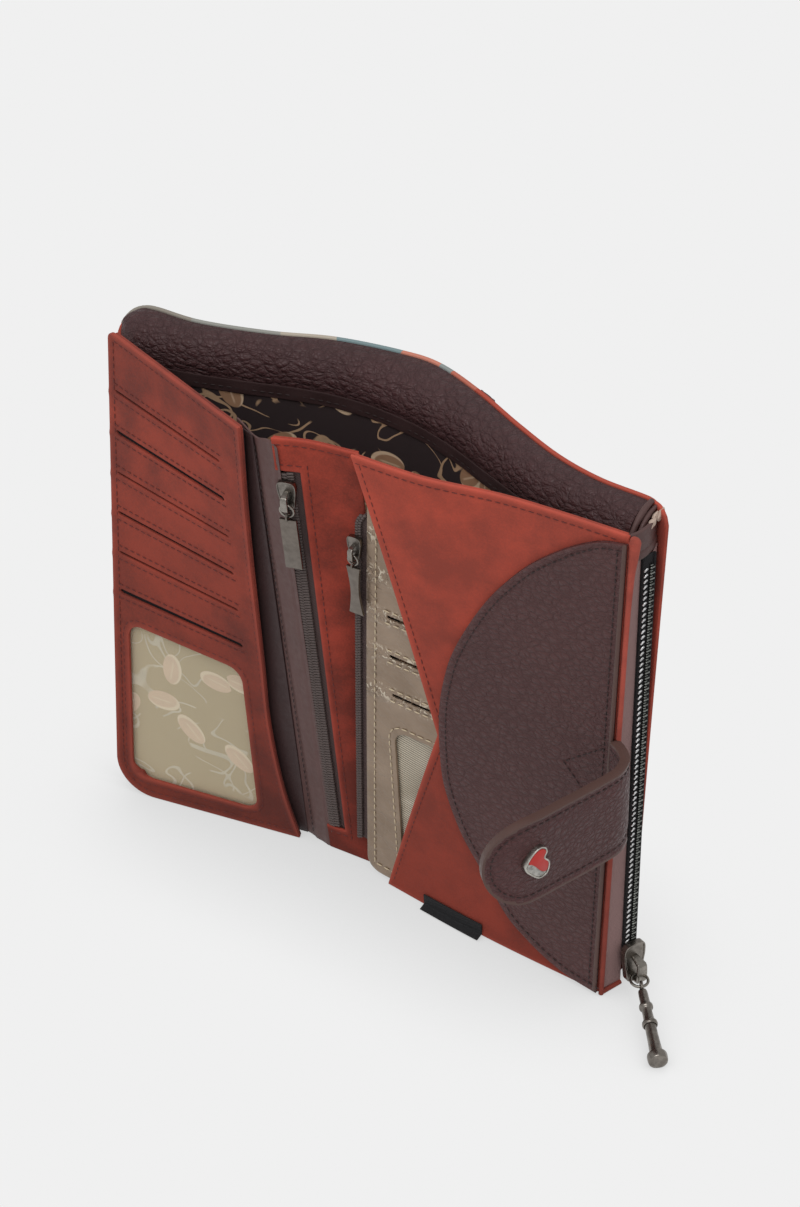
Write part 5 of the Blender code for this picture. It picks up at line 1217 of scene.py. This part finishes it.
def tidy_shell(piece, merge=0.0):
    edit_all()
    if merge:
        bpy.ops.mesh.remove_doubles(threshold=merge)
        bpy.ops.mesh.fill_holes(sides=0)
        bpy.ops.mesh.select_all(action="SELECT")
    bpy.ops.mesh.normals_make_consistent(inside=False)
    leave_edit()


def slab(name, outline, low, high):
    """A flat outline raised from one height to another."""
    bpy.ops.mesh.primitive_circle_add(vertices=len(outline), radius=1, fill_type="NGON")
    piece = bpy.context.object
    piece.name = name
    place_vertices(piece, [(x, y, low) for x, y in outline])
    edit_all()
    bpy.ops.mesh.extrude_region_move(TRANSFORM_OT_translate={"value": (0, 0, high - low)})
    leave_edit()
    tidy_shell(piece)
    return piece


def sink(piece, level, margin, move):
    """Moves the flat face at one level, and leaves a rim round it."""
    at_level = np.abs(face_vectors(piece, "center")[:, 2] - level) < 1e-6
    select_faces(piece, at_level & (np.abs(face_vectors(piece, "normal")[:, 2]) > 0.99))
    bpy.ops.mesh.inset(thickness=margin)
    bpy.ops.mesh.extrude_region_move(TRANSFORM_OT_translate={"value": (0, 0, move)})
    leave_edit()


def turned(name, profile, sides=24):
    """A turned piece along Z: a disc, drawn out and resized at every step of its profile."""
    (level, size), *rest = profile
    bpy.ops.mesh.primitive_circle_add(vertices=sides, radius=size, fill_type="NGON")
    piece = bpy.context.object
    piece.name = name
    edit_all()
    bpy.ops.transform.translate(value=(0, 0, level))
    for following, radius in rest:
        bpy.ops.mesh.extrude_region_move(TRANSFORM_OT_translate={"value": (0, 0, following - level)})
        bpy.ops.transform.resize(value=(radius / size, radius / size, 1), center_override=(0, 0, following))
        level, size = following, radius
    leave_edit()
    tidy_shell(piece)
    return piece


def tube(name, path, radius, sides=10, closed=False, toward=(0, 1, 0)):
    """A round bar along a path, of one radius or of one for each point."""
    path = np.asarray(path, float)
    steps = np.roll(path, -1, 0) - np.roll(path, 1, 0) if closed else np.gradient(path, axis=0)
    if closed:
        path, steps = np.vstack((path, path[:1])), np.vstack((steps, steps[:1]))
    ways = steps / np.linalg.norm(steps, axis=1)[:, None]
    side = np.cross(ways, toward)
    side /= np.linalg.norm(side, axis=1)[:, None]
    rise = np.cross(side, ways)
    turns = np.linspace(0, 2 * math.pi, sides + 1)
    radii = np.broadcast_to(np.asarray(radius, float), len(path))[:, None, None]
    co = path[:, None] + radii * (np.cos(turns)[None, :, None] * side[:, None]
                                  + np.sin(turns)[None, :, None] * rise[:, None])
    piece = cut_sheet(name, turns, np.linspace(0, 1, len(path)))
    place_vertices(piece, co.reshape(-1, 3))
    tidy_shell(piece, TOUCH)
    return piece


def ring_path(place, centre, radius, count=28, upright=False):
    """A ring in the X and Y of a place, or in its Y and Z, and the direction that it faces."""
    turns = np.linspace(0, 2 * math.pi, count, endpoint=False)
    a, b, still = radius * np.cos(turns), radius * np.sin(turns), np.zeros(count)
    local = np.stack((still, a, b) if upright else (a, b, still), 1) + np.array(centre)
    turn = np.array(place.to_3x3())
    return local @ turn.T + np.array(place.translation), turn[:, 0 if upright else 2]


def move(piece, matrix):
    place_vertices(piece, coordinates(piece) @ np.array(matrix.to_3x3()).T + np.array(matrix.translation))
    return piece


def join(name, pieces):
    bpy.ops.object.select_all(action="DESELECT")
    for piece in pieces:
        piece.select_set(True)
    bpy.context.view_layer.objects.active = pieces[0]
    bpy.ops.object.join()
    pieces[0].name = name
    return pieces[0]


def trim(piece, finish, share):
    """Gives the faces along a piece's edges a finish of their own."""
    wear = np.empty(len(piece.data.vertices))
    piece.data.attributes["edge"].data.foreach_get("value", wear)
    piece.data.materials.append(finish.material)
    for face in piece.data.polygons:
        if wear[list(face.vertices)].mean() > share:
            face.material_index = 1


def finished(piece, finish, body, replaced=(), angle=40):
    """Smooths a small solid and gives it its finish."""
    soften(piece, angle)
    return set_finish(piece, finish, body, replaced)


# ---------------------------------------------------------------- strap and snap

class Band(Wall):
    """The strap's line, walked from its free end, so that its face looks outwards."""

    def __init__(self, shares):
        super().__init__(shares, shares)

    def at(self, u, z, w=0.0):
        return super().at(self.width - np.asarray(u, float), z, -np.asarray(w, float))


HEART_DOTS = ((-5.19, 0.04), (-3.4, 3.7), (-0.88, 5.98), (1.37, 6.57), (3.2, 5.5), (3.75, 3.5), (2.95, 1.6),
              (4.5, -0.4), (4.83, -2.54), (3.94, -5.3), (2.1, -6.3), (0.15, -6.1), (-2.97, -3.3))
ENAMEL_EDGE = ((-5.0, 1.5), (-3.4, 1.2), (-2.3, 0.7), (-1.2, -0.3), (-0.2, -1.6), (0.9, -3.0), (1.9, -3.9),
               (2.9, -4.4), (3.9, -4.1), (5.5, -2.6))
SOCKET_STEPS = ((-0.2, 4.9), (0.5, 5.0), (0.8, 4.8), (0.9, 4.2), (2.4, 3.9), (2.8, 3.5), (2.8, 2.6), (1.3, 2.4),
                (1.3, 0.6))
STUD_STEPS = ((-0.3, 4.8), (0.7, 5.0), (1.1, 4.7), (1.2, 3.0), (1.5, 2.1), (2.3, 2.1), (2.7, 2.5), (2.95, 2.0),
              (3.0, 0.8))
STRAP_MIDDLE = HEIGHT * 0.4923
STRAP_HALF = 17 * MM
STRAP_THICKNESS = 3.1 * MM
SNAP_U = 18 * MM
CAP_TOP = 2.3 * MM


def in_metres(steps):
    return [(z * MM, r * MM) for z, r in steps]


def make_strap():
    band = Band(STRAP_LINE)
    length, half, middle = band.width, STRAP_HALF, STRAP_MIDDLE

    def round_tip(co):
        tip = co[:, 0] < half
        a, b = 1 - co[tip, 0] / half, (co[tip, 1] - middle) / half
        co[tip, 0] = half - half * a * np.sqrt(1 - b * b / 2)
        co[tip, 1] = middle + half * b * np.sqrt(1 - a * a / 2)
        return co

    outline, seam = [[(length, middle - size), *arc((half, middle), size, 270, 90, 40), (length, middle + size)]
                     for size in (half, half - 2.9 * MM)]

    def swell(u, z):
        return 0.45 * MM * (1 - np.exp(-(near(np.stack((u, z), 1), [seam]) / (2.4 * MM)) ** 2))

    piece = sheet("strap_leather", band, lines(0, length, 0.9 * MM, [half]),
                  lines(middle - half, middle + half, 0.9 * MM), 0, STRAP_THICKNESS, brown_strap, "strap",
                  ["strap_outer", "strap_lining"], change=round_tip, edges=[outline], grooves=[seam],
                  rounding=0.85 * MM, relief=swell)
    trim(piece, edge_paint, 0.42)
    for name, depth in (("strap_stitching", -0.02 * MM), ("strap_back_stitching", 3.12 * MM)):
        stitch(name, band, [seam], depth, brown_thread, "strap", 2.0 * MM, 2.7 * MM)
    make_snap(band.frame(SNAP_U, middle), band.frame(SNAP_U, middle, STRAP_THICKNESS))


def make_snap(place, back):
    """The heart-shaped cap with its red and grained parts, and the socket behind the strap."""
    heart = smooth_points(HEART_DOTS, 4, closed=True) * MM
    cap = slab("heart_cap", heart, -0.6 * MM, CAP_TOP)
    sink(cap, CAP_TOP, 0.6 * MM, -0.4 * MM)
    round_edges(cap, 0.14 * MM)
    finished(move(cap, place), bright_rim, "strap", ["snap_cap"])

    inlay = (heart - heart.mean(0)) * 0.84 + heart.mean(0)
    edge = np.array(ENAMEL_EDGE) * MM
    above = inlay[:, 1] > np.interp(inlay[:, 0], edge[:, 0], edge[:, 1])
    for name, keep, high, finish, replaced in (("heart_enamel", above, 2.2, enamel, ["snap_cap_enamel"]),
                                               ("heart_grain", ~above, 2.1, grained_metal, ())):
        first = next(k for k in range(len(keep)) if keep[k] and not keep[k - 1])
        kept = np.roll(inlay, -first, 0)[:keep.sum()]
        xs = np.linspace(kept[-1, 0], kept[0, 0], 16)[1:-1]
        seam_line = np.stack((xs, np.interp(xs, edge[:, 0], edge[:, 1])), 1)
        fill = slab(name, np.vstack((kept, seam_line)), 1.7 * MM, high * MM)
        round_edges(fill, 0.1 * MM)
        finished(move(fill, place), finish, "strap", replaced)

    socket = turned("snap_socket_ring", in_metres(SOCKET_STEPS))
    finished(move(socket, back @ HALF_TURN), gunmetal, "strap", ["snap_socket"])


class Behind:
    """A wall whose back is the face, at a distance behind its line."""

    def __init__(self, wall, distance):
        self.wall, self.distance = wall, distance

    def at(self, u, z, w=0.0):
        return self.wall.at(u, z, self.distance - np.asarray(w, float))


def make_cover_trim():
    """The stud on the cover's outside, which the strap closes on, and the small tab at its top edge."""
    fold = cover_wall.across(fold_x(STRAP_MIDDLE), STRAP_MIDDLE)
    stud = turned("stud", in_metres(STUD_STEPS))
    finished(move(stud, cover_wall.frame(fold - 42 * MM, STRAP_MIDDLE, 0) @ HALF_TURN), gunmetal, "left_half",
             ["snap_stud"])

    left = cover_wall.across(fold_x(HEIGHT), HEIGHT) + 13 * MM
    low, high, right = HEIGHT - 16.5 * MM, HEIGHT - 0.9 * MM, left + 7.5 * MM
    inset = 1.6 * MM
    seam = [(left + inset, high), (left + inset, low + inset), (right - inset, low + inset), (right - inset, high)]
    tab = sheet("cover_top_tab", Behind(cover_wall, 1.8 * MM), lines(left, right, 0.9 * MM),
                lines(low, high, 0.9 * MM), 0, 1.7 * MM, brown_smooth, "right_half", ["cover_tab"],
                change=lambda co: round_corner(round_corner(co, (left, low), 2.5 * MM, 1, 1), (right, low), 2.5 * MM,
                                               -1, 1),
                edges=[[(left, high), (left, low), (right, low), (right, high)]], grooves=[seam], rounding=0.4 * MM)
    activate(tab)
    tidy_shell(tab)
    stitch("cover_tab_stitching", cover_wall, [seam], 1.85 * MM, brown_thread, "right_half")


# ---------------------------------------------------------------- side zip

SIDE_HEADING = math.radians(70)
CHAIN_HALF = 2.9 * MM
CHAIN_TOP = HEIGHT - 12.9 * MM
BED_FOOT = 12 * MM
TEETH_FOOT, TEETH_TOP = 16 * MM, 178 * MM
TAPE_WIDTH = 8 * MM
TOOTH_PITCH = 2.25 * MM
PIPING_HEIGHTS, PIPING_RADII = (150, 166, 180, 188, 193), (0.9, 0.98, 1.25, 1.8, 2.1)


def side_frame(z):
    """A frame on the side zip: X across it to the back, Y up it, Z out of its face."""
    foot, top = plan((1.0135, 0.154)), plan((1.031, 0.154), HEIGHT)
    rise = (top - foot).normalized()
    out = Vector((math.cos(SIDE_HEADING), math.sin(SIDE_HEADING), 0)).cross(rise).normalized()
    turn = Matrix((rise.cross(out), rise, out)).transposed().to_4x4()
    return Matrix.Translation(foot.lerp(top, z / HEIGHT)) @ turn


class Board:
    """The X and Y of a frame as a flat wall."""

    def __init__(self, place):
        self.turn, self.origin = np.array(place.to_3x3()), np.array(place.translation)

    def at(self, u, z, w=0.0):
        u, z, w = matched(u, z, w)
        return np.stack((u, z, -w), -1) @ self.turn.T + self.origin


class Span:
    """A wall between two edges, each a function of height."""

    def __init__(self, left, right, width):
        self.left, self.right, self.width = left, right, width

    def at(self, u, z, w=0.0):
        u, z, w = matched(u, z, w)
        a, b = self.left(z), self.right(z)
        way = (b - a) / np.linalg.norm(b - a, axis=-1)[..., None]
        out = np.stack((-way[..., 1], way[..., 0], np.zeros_like(z)), -1)
        return a + (b - a) * (u / self.width)[..., None] + out * w[..., None]


class Rail:
    """An upright wall on a curve in plan."""

    def __init__(self, points):
        self.points = np.asarray(points, float)
        sizes = np.linalg.norm(np.diff(self.points, axis=0), axis=1)
        self.marks = np.concatenate(([0.0], np.cumsum(sizes)))
        self.ways = np.gradient(self.points, axis=0)
        self.ways /= np.linalg.norm(self.ways, axis=1)[:, None]
        self.width = self.marks[-1]

    def at(self, u, z, w=0.0):
        u, z, w = matched(u, z, w)
        x, y = (np.interp(u, self.marks, self.points[:, k]) for k in (0, 1))
        a, b = (np.interp(u, self.marks, self.ways[:, k]) for k in (0, 1))
        return np.stack((x - b * w, y + a * w, z), -1)


def tooth_model(size, slant):
    bpy.ops.mesh.primitive_cube_add(size=1)
    edit_all()
    bpy.ops.transform.resize(value=size, center_override=(0, 0, 0))
    bpy.ops.mesh.bevel(offset=min(size) * 0.3, segments=1, affect="EDGES")
    bpy.ops.mesh.select_all(action="SELECT")
    bpy.ops.transform.rotate(value=-slant, orient_axis="Z", center_override=(0, 0, 0))
    leave_edit()
    return as_model(bpy.context.object)


def make_piping(board):
    """The red piping up the side edge, and its turn round the foot to the zip."""
    heights = np.concatenate((np.linspace(FOOT, HEIGHT - 3 * MM, 90), HEIGHT - np.linspace(2.6, 0.1, 9) * MM))
    radii = np.interp(heights / MM, PIPING_HEIGHTS, PIPING_RADII) * MM
    radii = radii * np.sqrt(np.clip((HEIGHT - heights) / (2.6 * MM), 0, 1))
    path = np.array([right_wall.at(side_u(z) + min(1.5 * MM, 0.95 * MM + size * 0.3), z, size - 1.1 * MM)
                     for z, size in zip(heights, radii)])
    finished(tube("piping_cord", path, radii, 14), red_cord, "right_half", ["edge_piping"])
    start, end = path[0] * (1, 1, 0), board.at(-CHAIN_HALF, 0, 0.6 * MM) * (1, 1, 0)
    foot = np.array([start + (end - start) * k / 12 + (0, 0, 1.0 * MM) for k in range(13)])
    finished(tube("piping_foot", foot, np.full(13, 0.9 * MM), 12), red_cord, "right_half")


def make_side_zip():
    board = Board(side_frame(0))
    make_piping(board)
    half, high = CHAIN_HALF, CHAIN_TOP

    def chain_edge(across):
        return lambda z: board.at(across, z, 0.8 * MM)

    front = Span(lambda z: right_wall.at(side_u(z) + 0.9 * MM, z, 0.8 * MM), chain_edge(-half + 0.3 * MM), TAPE_WIDTH)
    back = Span(chain_edge(half - 0.3 * MM), lambda z: cover_wall.at(cover_wall.width - 1.8 * MM, z, -1.8 * MM),
                TAPE_WIDTH)
    for name, wall in (("front", front), ("back", back)):
        sheet("side_tape_" + name, wall, lines(0, TAPE_WIDTH, 1 * MM), lines(0.6 * MM, high, 2.5 * MM), 0, TAPE,
              lit_brown_tape, "right_half", ["side_zip_tape_" + name], rounding=0.1 * MM,
              relief=lambda u, z: 0.12 * MM * np.sin(z / (9 * MM)) * np.sin(u / TAPE_WIDTH * np.pi))

    bed = cut_sheet("side_bed", lines(-half, half, 0.7 * MM), lines(BED_FOOT, high, 2.5 * MM))
    lay(bed, board, 0.35 * MM, 0.6 * MM, rounding=0.15 * MM)
    cords = [tube("side_cord", board.at(side * 2.35 * MM, np.linspace(BED_FOOT, high, 40), 0.2 * MM), 0.55 * MM, 8,
                  toward=(1, 0, 0)) for side in (-1, 1)]
    for cord in cords:
        cord.data.uv_layers.new(name="flat")
    finished(join("side_bed", [bed, *cords]), black_tape, "right_half")

    count = round((TEETH_TOP - TEETH_FOOT) / TOOTH_PITCH)
    steps = [TEETH_FOOT + (k + 0.5) * TOOTH_PITCH for k in range(count)]
    for name, size, slant, across, up, finish, replaced in (
            ("front", (1.9, 0.72, 1.4), math.radians(33), -1.45 * MM, 0, bright_metal, ["side_zip_teeth_front"]),
            ("back", (1.9, 0.62, 1.3), 0.1, 1.3 * MM, 0, dull_metal, ["side_zip_teeth_back"]),
            ("between", (1.1, 0.42, 1.1), 0.1, 0.9 * MM, 1.1 * MM, dull_metal, ())):
        copies("side_teeth_" + name, tooth_model([s * MM for s in size], slant),
               [lambda co, z=z: board.at(co[:, 0] + across, co[:, 1] + z + up, -co[:, 2]) for z in steps], finish,
               "right_half", replaced)


def make_top_tab():
    """The leather tab over the top end of the side zip, with its folded lower edge."""
    low, high, fold = HEIGHT - 12.7 * MM, HEIGHT - 1.8 * MM, 2.7 * MM
    start = right_wall.at(right_wall.width + 0.95 * MM, high, 2.5 * MM)[:2]
    end = cover_wall.at(cover_wall.width - 2.8 * MM, high, -2.2 * MM)[:2]
    crown = np.array(side_frame(high) @ Vector((0, 0, 1.4 * MM)))[:2]
    share = np.linspace(0, 1, 24)[:, None]
    rail = Rail((1 - share) ** 2 * start + 2 * share * (1 - share) * crown + share ** 2 * end)
    tab = sheet("side_top_tab", rail, lines(0, rail.width, 0.7 * MM), lines(low, high, 0.5 * MM), 0, 1.4 * MM,
                brown_smooth, "right_half", ["side_zip_top_tab"], edges=[[(0, low), (rail.width, low)]],
                grooves=[[(0, low + fold), (rail.width, low + fold)]], rounding=0.4 * MM,
                relief=lambda u, z: 0.35 * MM * (z < low + fold))
    trim(tab, edge_paint, 0.8)


def make_corner():
    """The bound end of the facing, and the folded ends of the lining that show beside it."""
    end = lining_wall.at(lining_wall.width, FACING_BOTTOM)
    far = cover_y(end[0], HEIGHT, -COVER, -2.0 * MM)
    turns = np.radians(np.linspace(-6, 92, 18))
    depth = far - end[1]
    for name, out, size, radius in (("facing_end_binding", 0.9 * MM, 1.02, 1.25 * MM),
                                    ("facing_end_cord", 2.7 * MM, 0.93, 0.95 * MM)):
        path = np.stack((np.full(18, end[0] + out), far - depth * size * np.cos(turns),
                         FACING_BOTTOM + 12.8 * MM * size * np.sin(turns)), 1)
        finished(tube(name, path, radius * (0.9 + 0.1 * np.sin(turns * 7)), 12, toward=(1, 0, 0)), brown_smooth,
                 "right_half")
    for name, middle, way, size in (("lining_end_front", (104.4, -8.0, 191.9), (0.3, 0.8, 0.5), 2.7),
                                    ("lining_end_middle", (103.9, -5.0, 193.0), (0.1, 0.6, 0.8), 2.1),
                                    ("lining_end_back", (104.5, -2.6, 192.8), (0.2, 0.6, 0.7), 2.5)):
        way = np.array(way) / np.linalg.norm(way)
        along = np.linspace(-1, 1, 11)
        path = (np.array(middle) + along[:, None] * way * size) * MM
        radii = size * 0.62 * np.sqrt(np.clip(1.04 - along ** 2, 0.02, 1)) * (1 - 0.25 * along) * MM
        bit = tube(name, path, radii, 8, toward=(1, 0, 0))
        co = coordinates(bit)
        co[:, 0] = middle[0] * MM + (co[:, 0] - middle[0] * MM) * 0.55
        co += 0.12 * MM * np.sin(co[:, [1, 2, 0]] * 2600)
        place_vertices(bit, co)
        finished(bit, cream_cloth, "right_half", angle=25)


# ---------------------------------------------------------------- sliders and pulls

SLIDER_SHARES = (
    (-0.55, -1), (0.55, -1), (0.8, -0.35), (1.0, 0.45), (0.75, 1.0), (-0.75, 1.0), (-1.0, 0.45), (-0.8, -0.35))
PULL_SHARES = (
    (0.00, 0.32), (0.03, 0.46), (0.19, 0.50), (0.215, 0.67), (0.25, 0.68), (0.265, 0.60), (0.29, 0.50), (0.43, 0.56),
    (0.455, 0.75), (0.49, 0.76), (0.505, 0.66), (0.53, 0.56), (0.86, 0.66), (0.90, 0.96), (0.94, 1.00),
    (0.985, 0.96), (1.00, 0.84), (1.008, 0.5), (1.01, 0.08))
SECOND_TAG_SIDE = ((2.8, -20.5), (2.35, -18), (1.74, -13), (1.7, -8.5), (2.15, -3.5), (2.66, 0))
RING_RADIUS, RING_WIRE = 2.4 * MM, 0.47 * MM
EYE_RADIUS, EYE_WIRE = 1.35 * MM, 0.42 * MM
PULL_LENGTH, PULL_RADIUS = 32.5 * MM, 3.5 * MM
DROOP = math.radians(6)


class Arch:
    """The path of a bridge over a slider, in the frame of its place: u across it and z along it."""

    def __init__(self, place, spine, level):
        self.place, self.spine, self.level = Board(place), spine, level
        steps = np.gradient(spine, axis=0)
        steps /= np.linalg.norm(steps, axis=1)[:, None]
        self.out = np.stack((-steps[:, 1], steps[:, 0]), 1)
        self.marks = np.concatenate(([0.0], np.cumsum(np.linalg.norm(np.diff(spine, axis=0), axis=1))))
        self.length = self.marks[-1]

    def at(self, u, z, w=0.0):
        u, z, w = matched(u, z, w)
        y, high = (np.interp(z, self.marks, self.spine[:, k]) for k in (0, 1))
        a, b = (np.interp(z, self.marks, self.out[:, k]) for k in (0, 1))
        return self.place.at(u, y - a * w, -(self.level + high - b * w))


def make_slider(name, place, scale, wide):
    """A slider: rimmed plate, side flanges and a bowed bridge. It gives where its ring hangs."""
    rides = name.replace("_body", "")
    low, rise = 0.15 * MM, 0.8 * MM
    top = rise + 1.3 * MM * scale
    half, shoulder = 3.3 * MM * scale, 5.75 * MM * scale
    outline = smooth_points([(a * half, (b + 0.28) * shoulder) for a, b in SLIDER_SHARES], 4, closed=True)
    body = slab(name, outline, low, top)
    sink(body, top, 0.5 * MM * scale, -0.25 * MM * scale)
    sink(body, low, 0.9 * MM * scale, rise - low)
    round_edges(body, 0.22 * MM * scale, 3)
    apply(body, "SUBSURF", levels=1)
    finished(move(body, place), dark_pull, rides, [rides], 60)

    reach, high, wire = 4 * MM * scale, 3.4 * MM * scale, 1.0 * MM * scale
    knee, bend, crown = reach * 0.8, high * 0.85, reach * 0.55
    leg = [(-reach + wire / 2, -0.6 * MM), (-knee + wire / 2, bend - wire / 2), (-crown, high - wire / 2)]
    arch = Arch(place, smooth_points(leg + [(-y, z) for y, z in leg[::-1]], 6), top)
    band = cut_sheet(name + "_bridge", lines(-wide / 2, wide / 2, wide / 6), lines(0, arch.length, 0.35 * MM))
    co = coordinates(band)
    co[:, 0] *= 0.6 + 0.4 * np.sin(np.pi * co[:, 1] / arch.length)
    place_vertices(band, co)
    lay(band, arch, -wire / 2, wire, rounding=0.25 * MM * scale)
    apply(band, "SUBSURF", levels=1)
    finished(band, gunmetal, rides, angle=60)
    return top + (high - wire) / 2, -knee + wire + 0.45 * MM * scale + GAP


def make_ring_and_tag(zip_name, place, scale, out, hang, outline):
    radius, eye_radius = RING_RADIUS * scale, EYE_RADIUS * scale
    path, facing = ring_path(place, (0, hang - radius, out), radius)
    ring = tube(zip_name + "_pull_ring", path, RING_WIRE * scale, 10, True, facing)
    finished(ring, gunmetal, zip_name + "_ring", [zip_name + "_ring"])
    foot = hang - 4.8 * MM * scale
    path, facing = ring_path(place, (0, foot, out), eye_radius, 20, True)
    eye = tube(zip_name + "_eye", path, EYE_WIRE * scale, 8, True, facing)
    tag = slab(zip_name + "_flat_tag", outline, -0.55 * MM, 0.55 * MM)
    round_edges(tag, 0.2 * MM)
    move(tag, place @ Matrix.Translation((0, foot - eye_radius, out)))
    finished(join(zip_name + "_flat_tag", [tag, eye]), tag_metal, zip_name + "_tag", [zip_name + "_tag"])


def make_front_sliders():
    place = centre_wall.frame(COIN_COIL, HEIGHT / 2, -GAP)
    place.translation = Vector(centre_wall.at(COIN_COIL, HEIGHT - 25 * MM, -GAP))
    half, length = 3 * MM, 22 * MM
    tag = [(-half, -length), (half, -length), (half, 0), (-half, 0)]
    make_ring_and_tag("coin_zip", place, 1.0, *make_slider("coin_zip_slider_body", place, 1.0, 2.5 * MM), tag)

    z = HEIGHT - 41 * MM
    place = right_wall.frame(metal_left(z) - SECOND_COIL, z, 1.0 * MM)
    side = smooth_points(SECOND_TAG_SIDE, 4) * MM
    tag = np.vstack((side, side[::-1] * (-1, 1)))
    make_ring_and_tag("second_zip", place, 0.8, *make_slider("second_zip_slider_body", place, 0.8, 1.9 * MM), tag)


def drooping(heading):
    """The way of a piece that droops at a heading, and a frame with X along it and Y level."""
    turn = math.radians(heading)
    way = Vector((math.cos(turn) * math.cos(DROOP), math.sin(turn) * math.cos(DROOP), -math.sin(DROOP)))
    side = Vector((-math.sin(turn), math.cos(turn), 0))
    return way, Matrix((way, side, way.cross(side))).transposed().to_4x4()


def make_side_slider():
    place = side_frame(9 * MM) @ Matrix.Translation((0, 0, 0.8 * MM))
    out, hang = make_slider("side_zip_slider_body", place, 1.35, 4.0 * MM)
    start = place @ Vector((0, hang, out))
    way, flat = drooping(-44)
    path, facing = ring_path(Matrix.Translation(start + way * 3 * MM) @ flat, (0, 0, 0), 3 * MM, 32)
    finished(tube("side_link_ring", path, 0.52 * MM, 10, True, facing), gunmetal, "side_zip_link", ["side_zip_link"])

    eye = start + way * 6 * MM
    way, flat = drooping(-48)
    size = 1.35 * MM * 1.25
    on_edge = Matrix.Rotation(math.pi / 2, 4, "X")
    path, facing = ring_path(Matrix.Translation(eye) @ flat @ on_edge, (0, 0, 0), size, 22)
    loop = tube("side_pull_eye", path, 0.5 * MM, 10, True, facing)
    profile = smooth_points([(size + a * PULL_LENGTH, r * PULL_RADIUS) for a, r in PULL_SHARES], 3)
    pull = turned("side_pull", profile.tolist(), 28)
    side = flat.col[1].xyz
    move(pull, Matrix.Translation(eye) @ Matrix((side, way.cross(side), way)).transposed().to_4x4())
    finished(join("side_pull", [pull, loop]), dark_pull, "side_zip_pull", ["side_zip_pull"], 50)


# ---------------------------------------------------------------- stage

PALE = (0.871, 0.871, 0.871, 1)


def add_camera():
    back = Vector((math.sin(AZIMUTH) * math.cos(ELEVATION), -math.cos(AZIMUTH) * math.cos(ELEVATION),
                   math.sin(ELEVATION)))
    bpy.ops.object.camera_add(location=AIM + back * DISTANCE, rotation=back.to_track_quat("Z", "Y").to_euler())
    camera = bpy.context.object
    camera.data.lens = LENS
    camera.data.sensor_width = 36
    camera.data.clip_end = 50
    bpy.context.scene.camera = camera


def add_stage():
    """A pale floor that the camera sees evenly lit, with a painted shadow where the wallet shades it, and soft light.
    """
    bpy.ops.mesh.primitive_plane_add(size=12)
    floor = bpy.context.object
    floor.name = "pale_floor"
    paint = bpy.data.materials.new("pale_floor")
    paint.use_nodes = True
    tree = paint.node_tree
    # Painted shadow: the camera sees the floor glow, dimmed by ambient occlusion leaned towards the back.
    shade = node(tree, "AmbientOcclusion", {"Distance": 0.075, "Normal": (0.10, 0.48, 0.87)}, samples=12)
    kept = node(tree, "MapRange", {0: shade.outputs["AO"], 1: 0.0, 2: 0.92, 3: 0.60, 4: 1.0})
    glow = node(tree, "Emission", {"Color": PALE, "Strength": kept.outputs[0]})
    matt = node(tree, "BsdfDiffuse", {"Color": (0.62, 0.62, 0.62, 1)})
    seen = node(tree, "LightPath").outputs
    direct = node(tree, "Math", {0: seen["Is Camera Ray"], 1: seen["Is Glossy Ray"]}, operation="MAXIMUM")
    both = node(tree, "MixShader", {0: direct.outputs[0], 1: matt.outputs[0], 2: glow.outputs[0]})
    tree.links.new(both.outputs[0], tree.nodes["Material Output"].inputs["Surface"])
    floor.data.materials.append(paint)

    world = bpy.data.worlds.new("studio")
    world.use_nodes = True
    light = world.node_tree.nodes["Background"].inputs
    light["Color"].default_value = (1, 1, 1, 1)
    light["Strength"].default_value = 0.6
    bpy.context.scene.world = world
    bpy.ops.object.light_add(type="SUN", rotation=(math.radians(28), math.radians(8), 0))
    lamp = bpy.context.object
    lamp.data.energy = 1.05
    lamp.data.angle = math.radians(40)


bpy.ops.object.select_all(action="DESELECT")
bpy.context.scene.view_settings.view_transform = "Standard"
for step in (add_camera, add_stage, make_left_half, make_gusset, make_middle, make_v_panel, make_round_panel,
             make_metallic, make_second_zip, make_label, make_back, make_facing, make_skirt, make_base, make_strap,
             make_cover_trim, make_side_zip, make_top_tab, make_corner, make_front_sliders, make_side_slider):
    step()
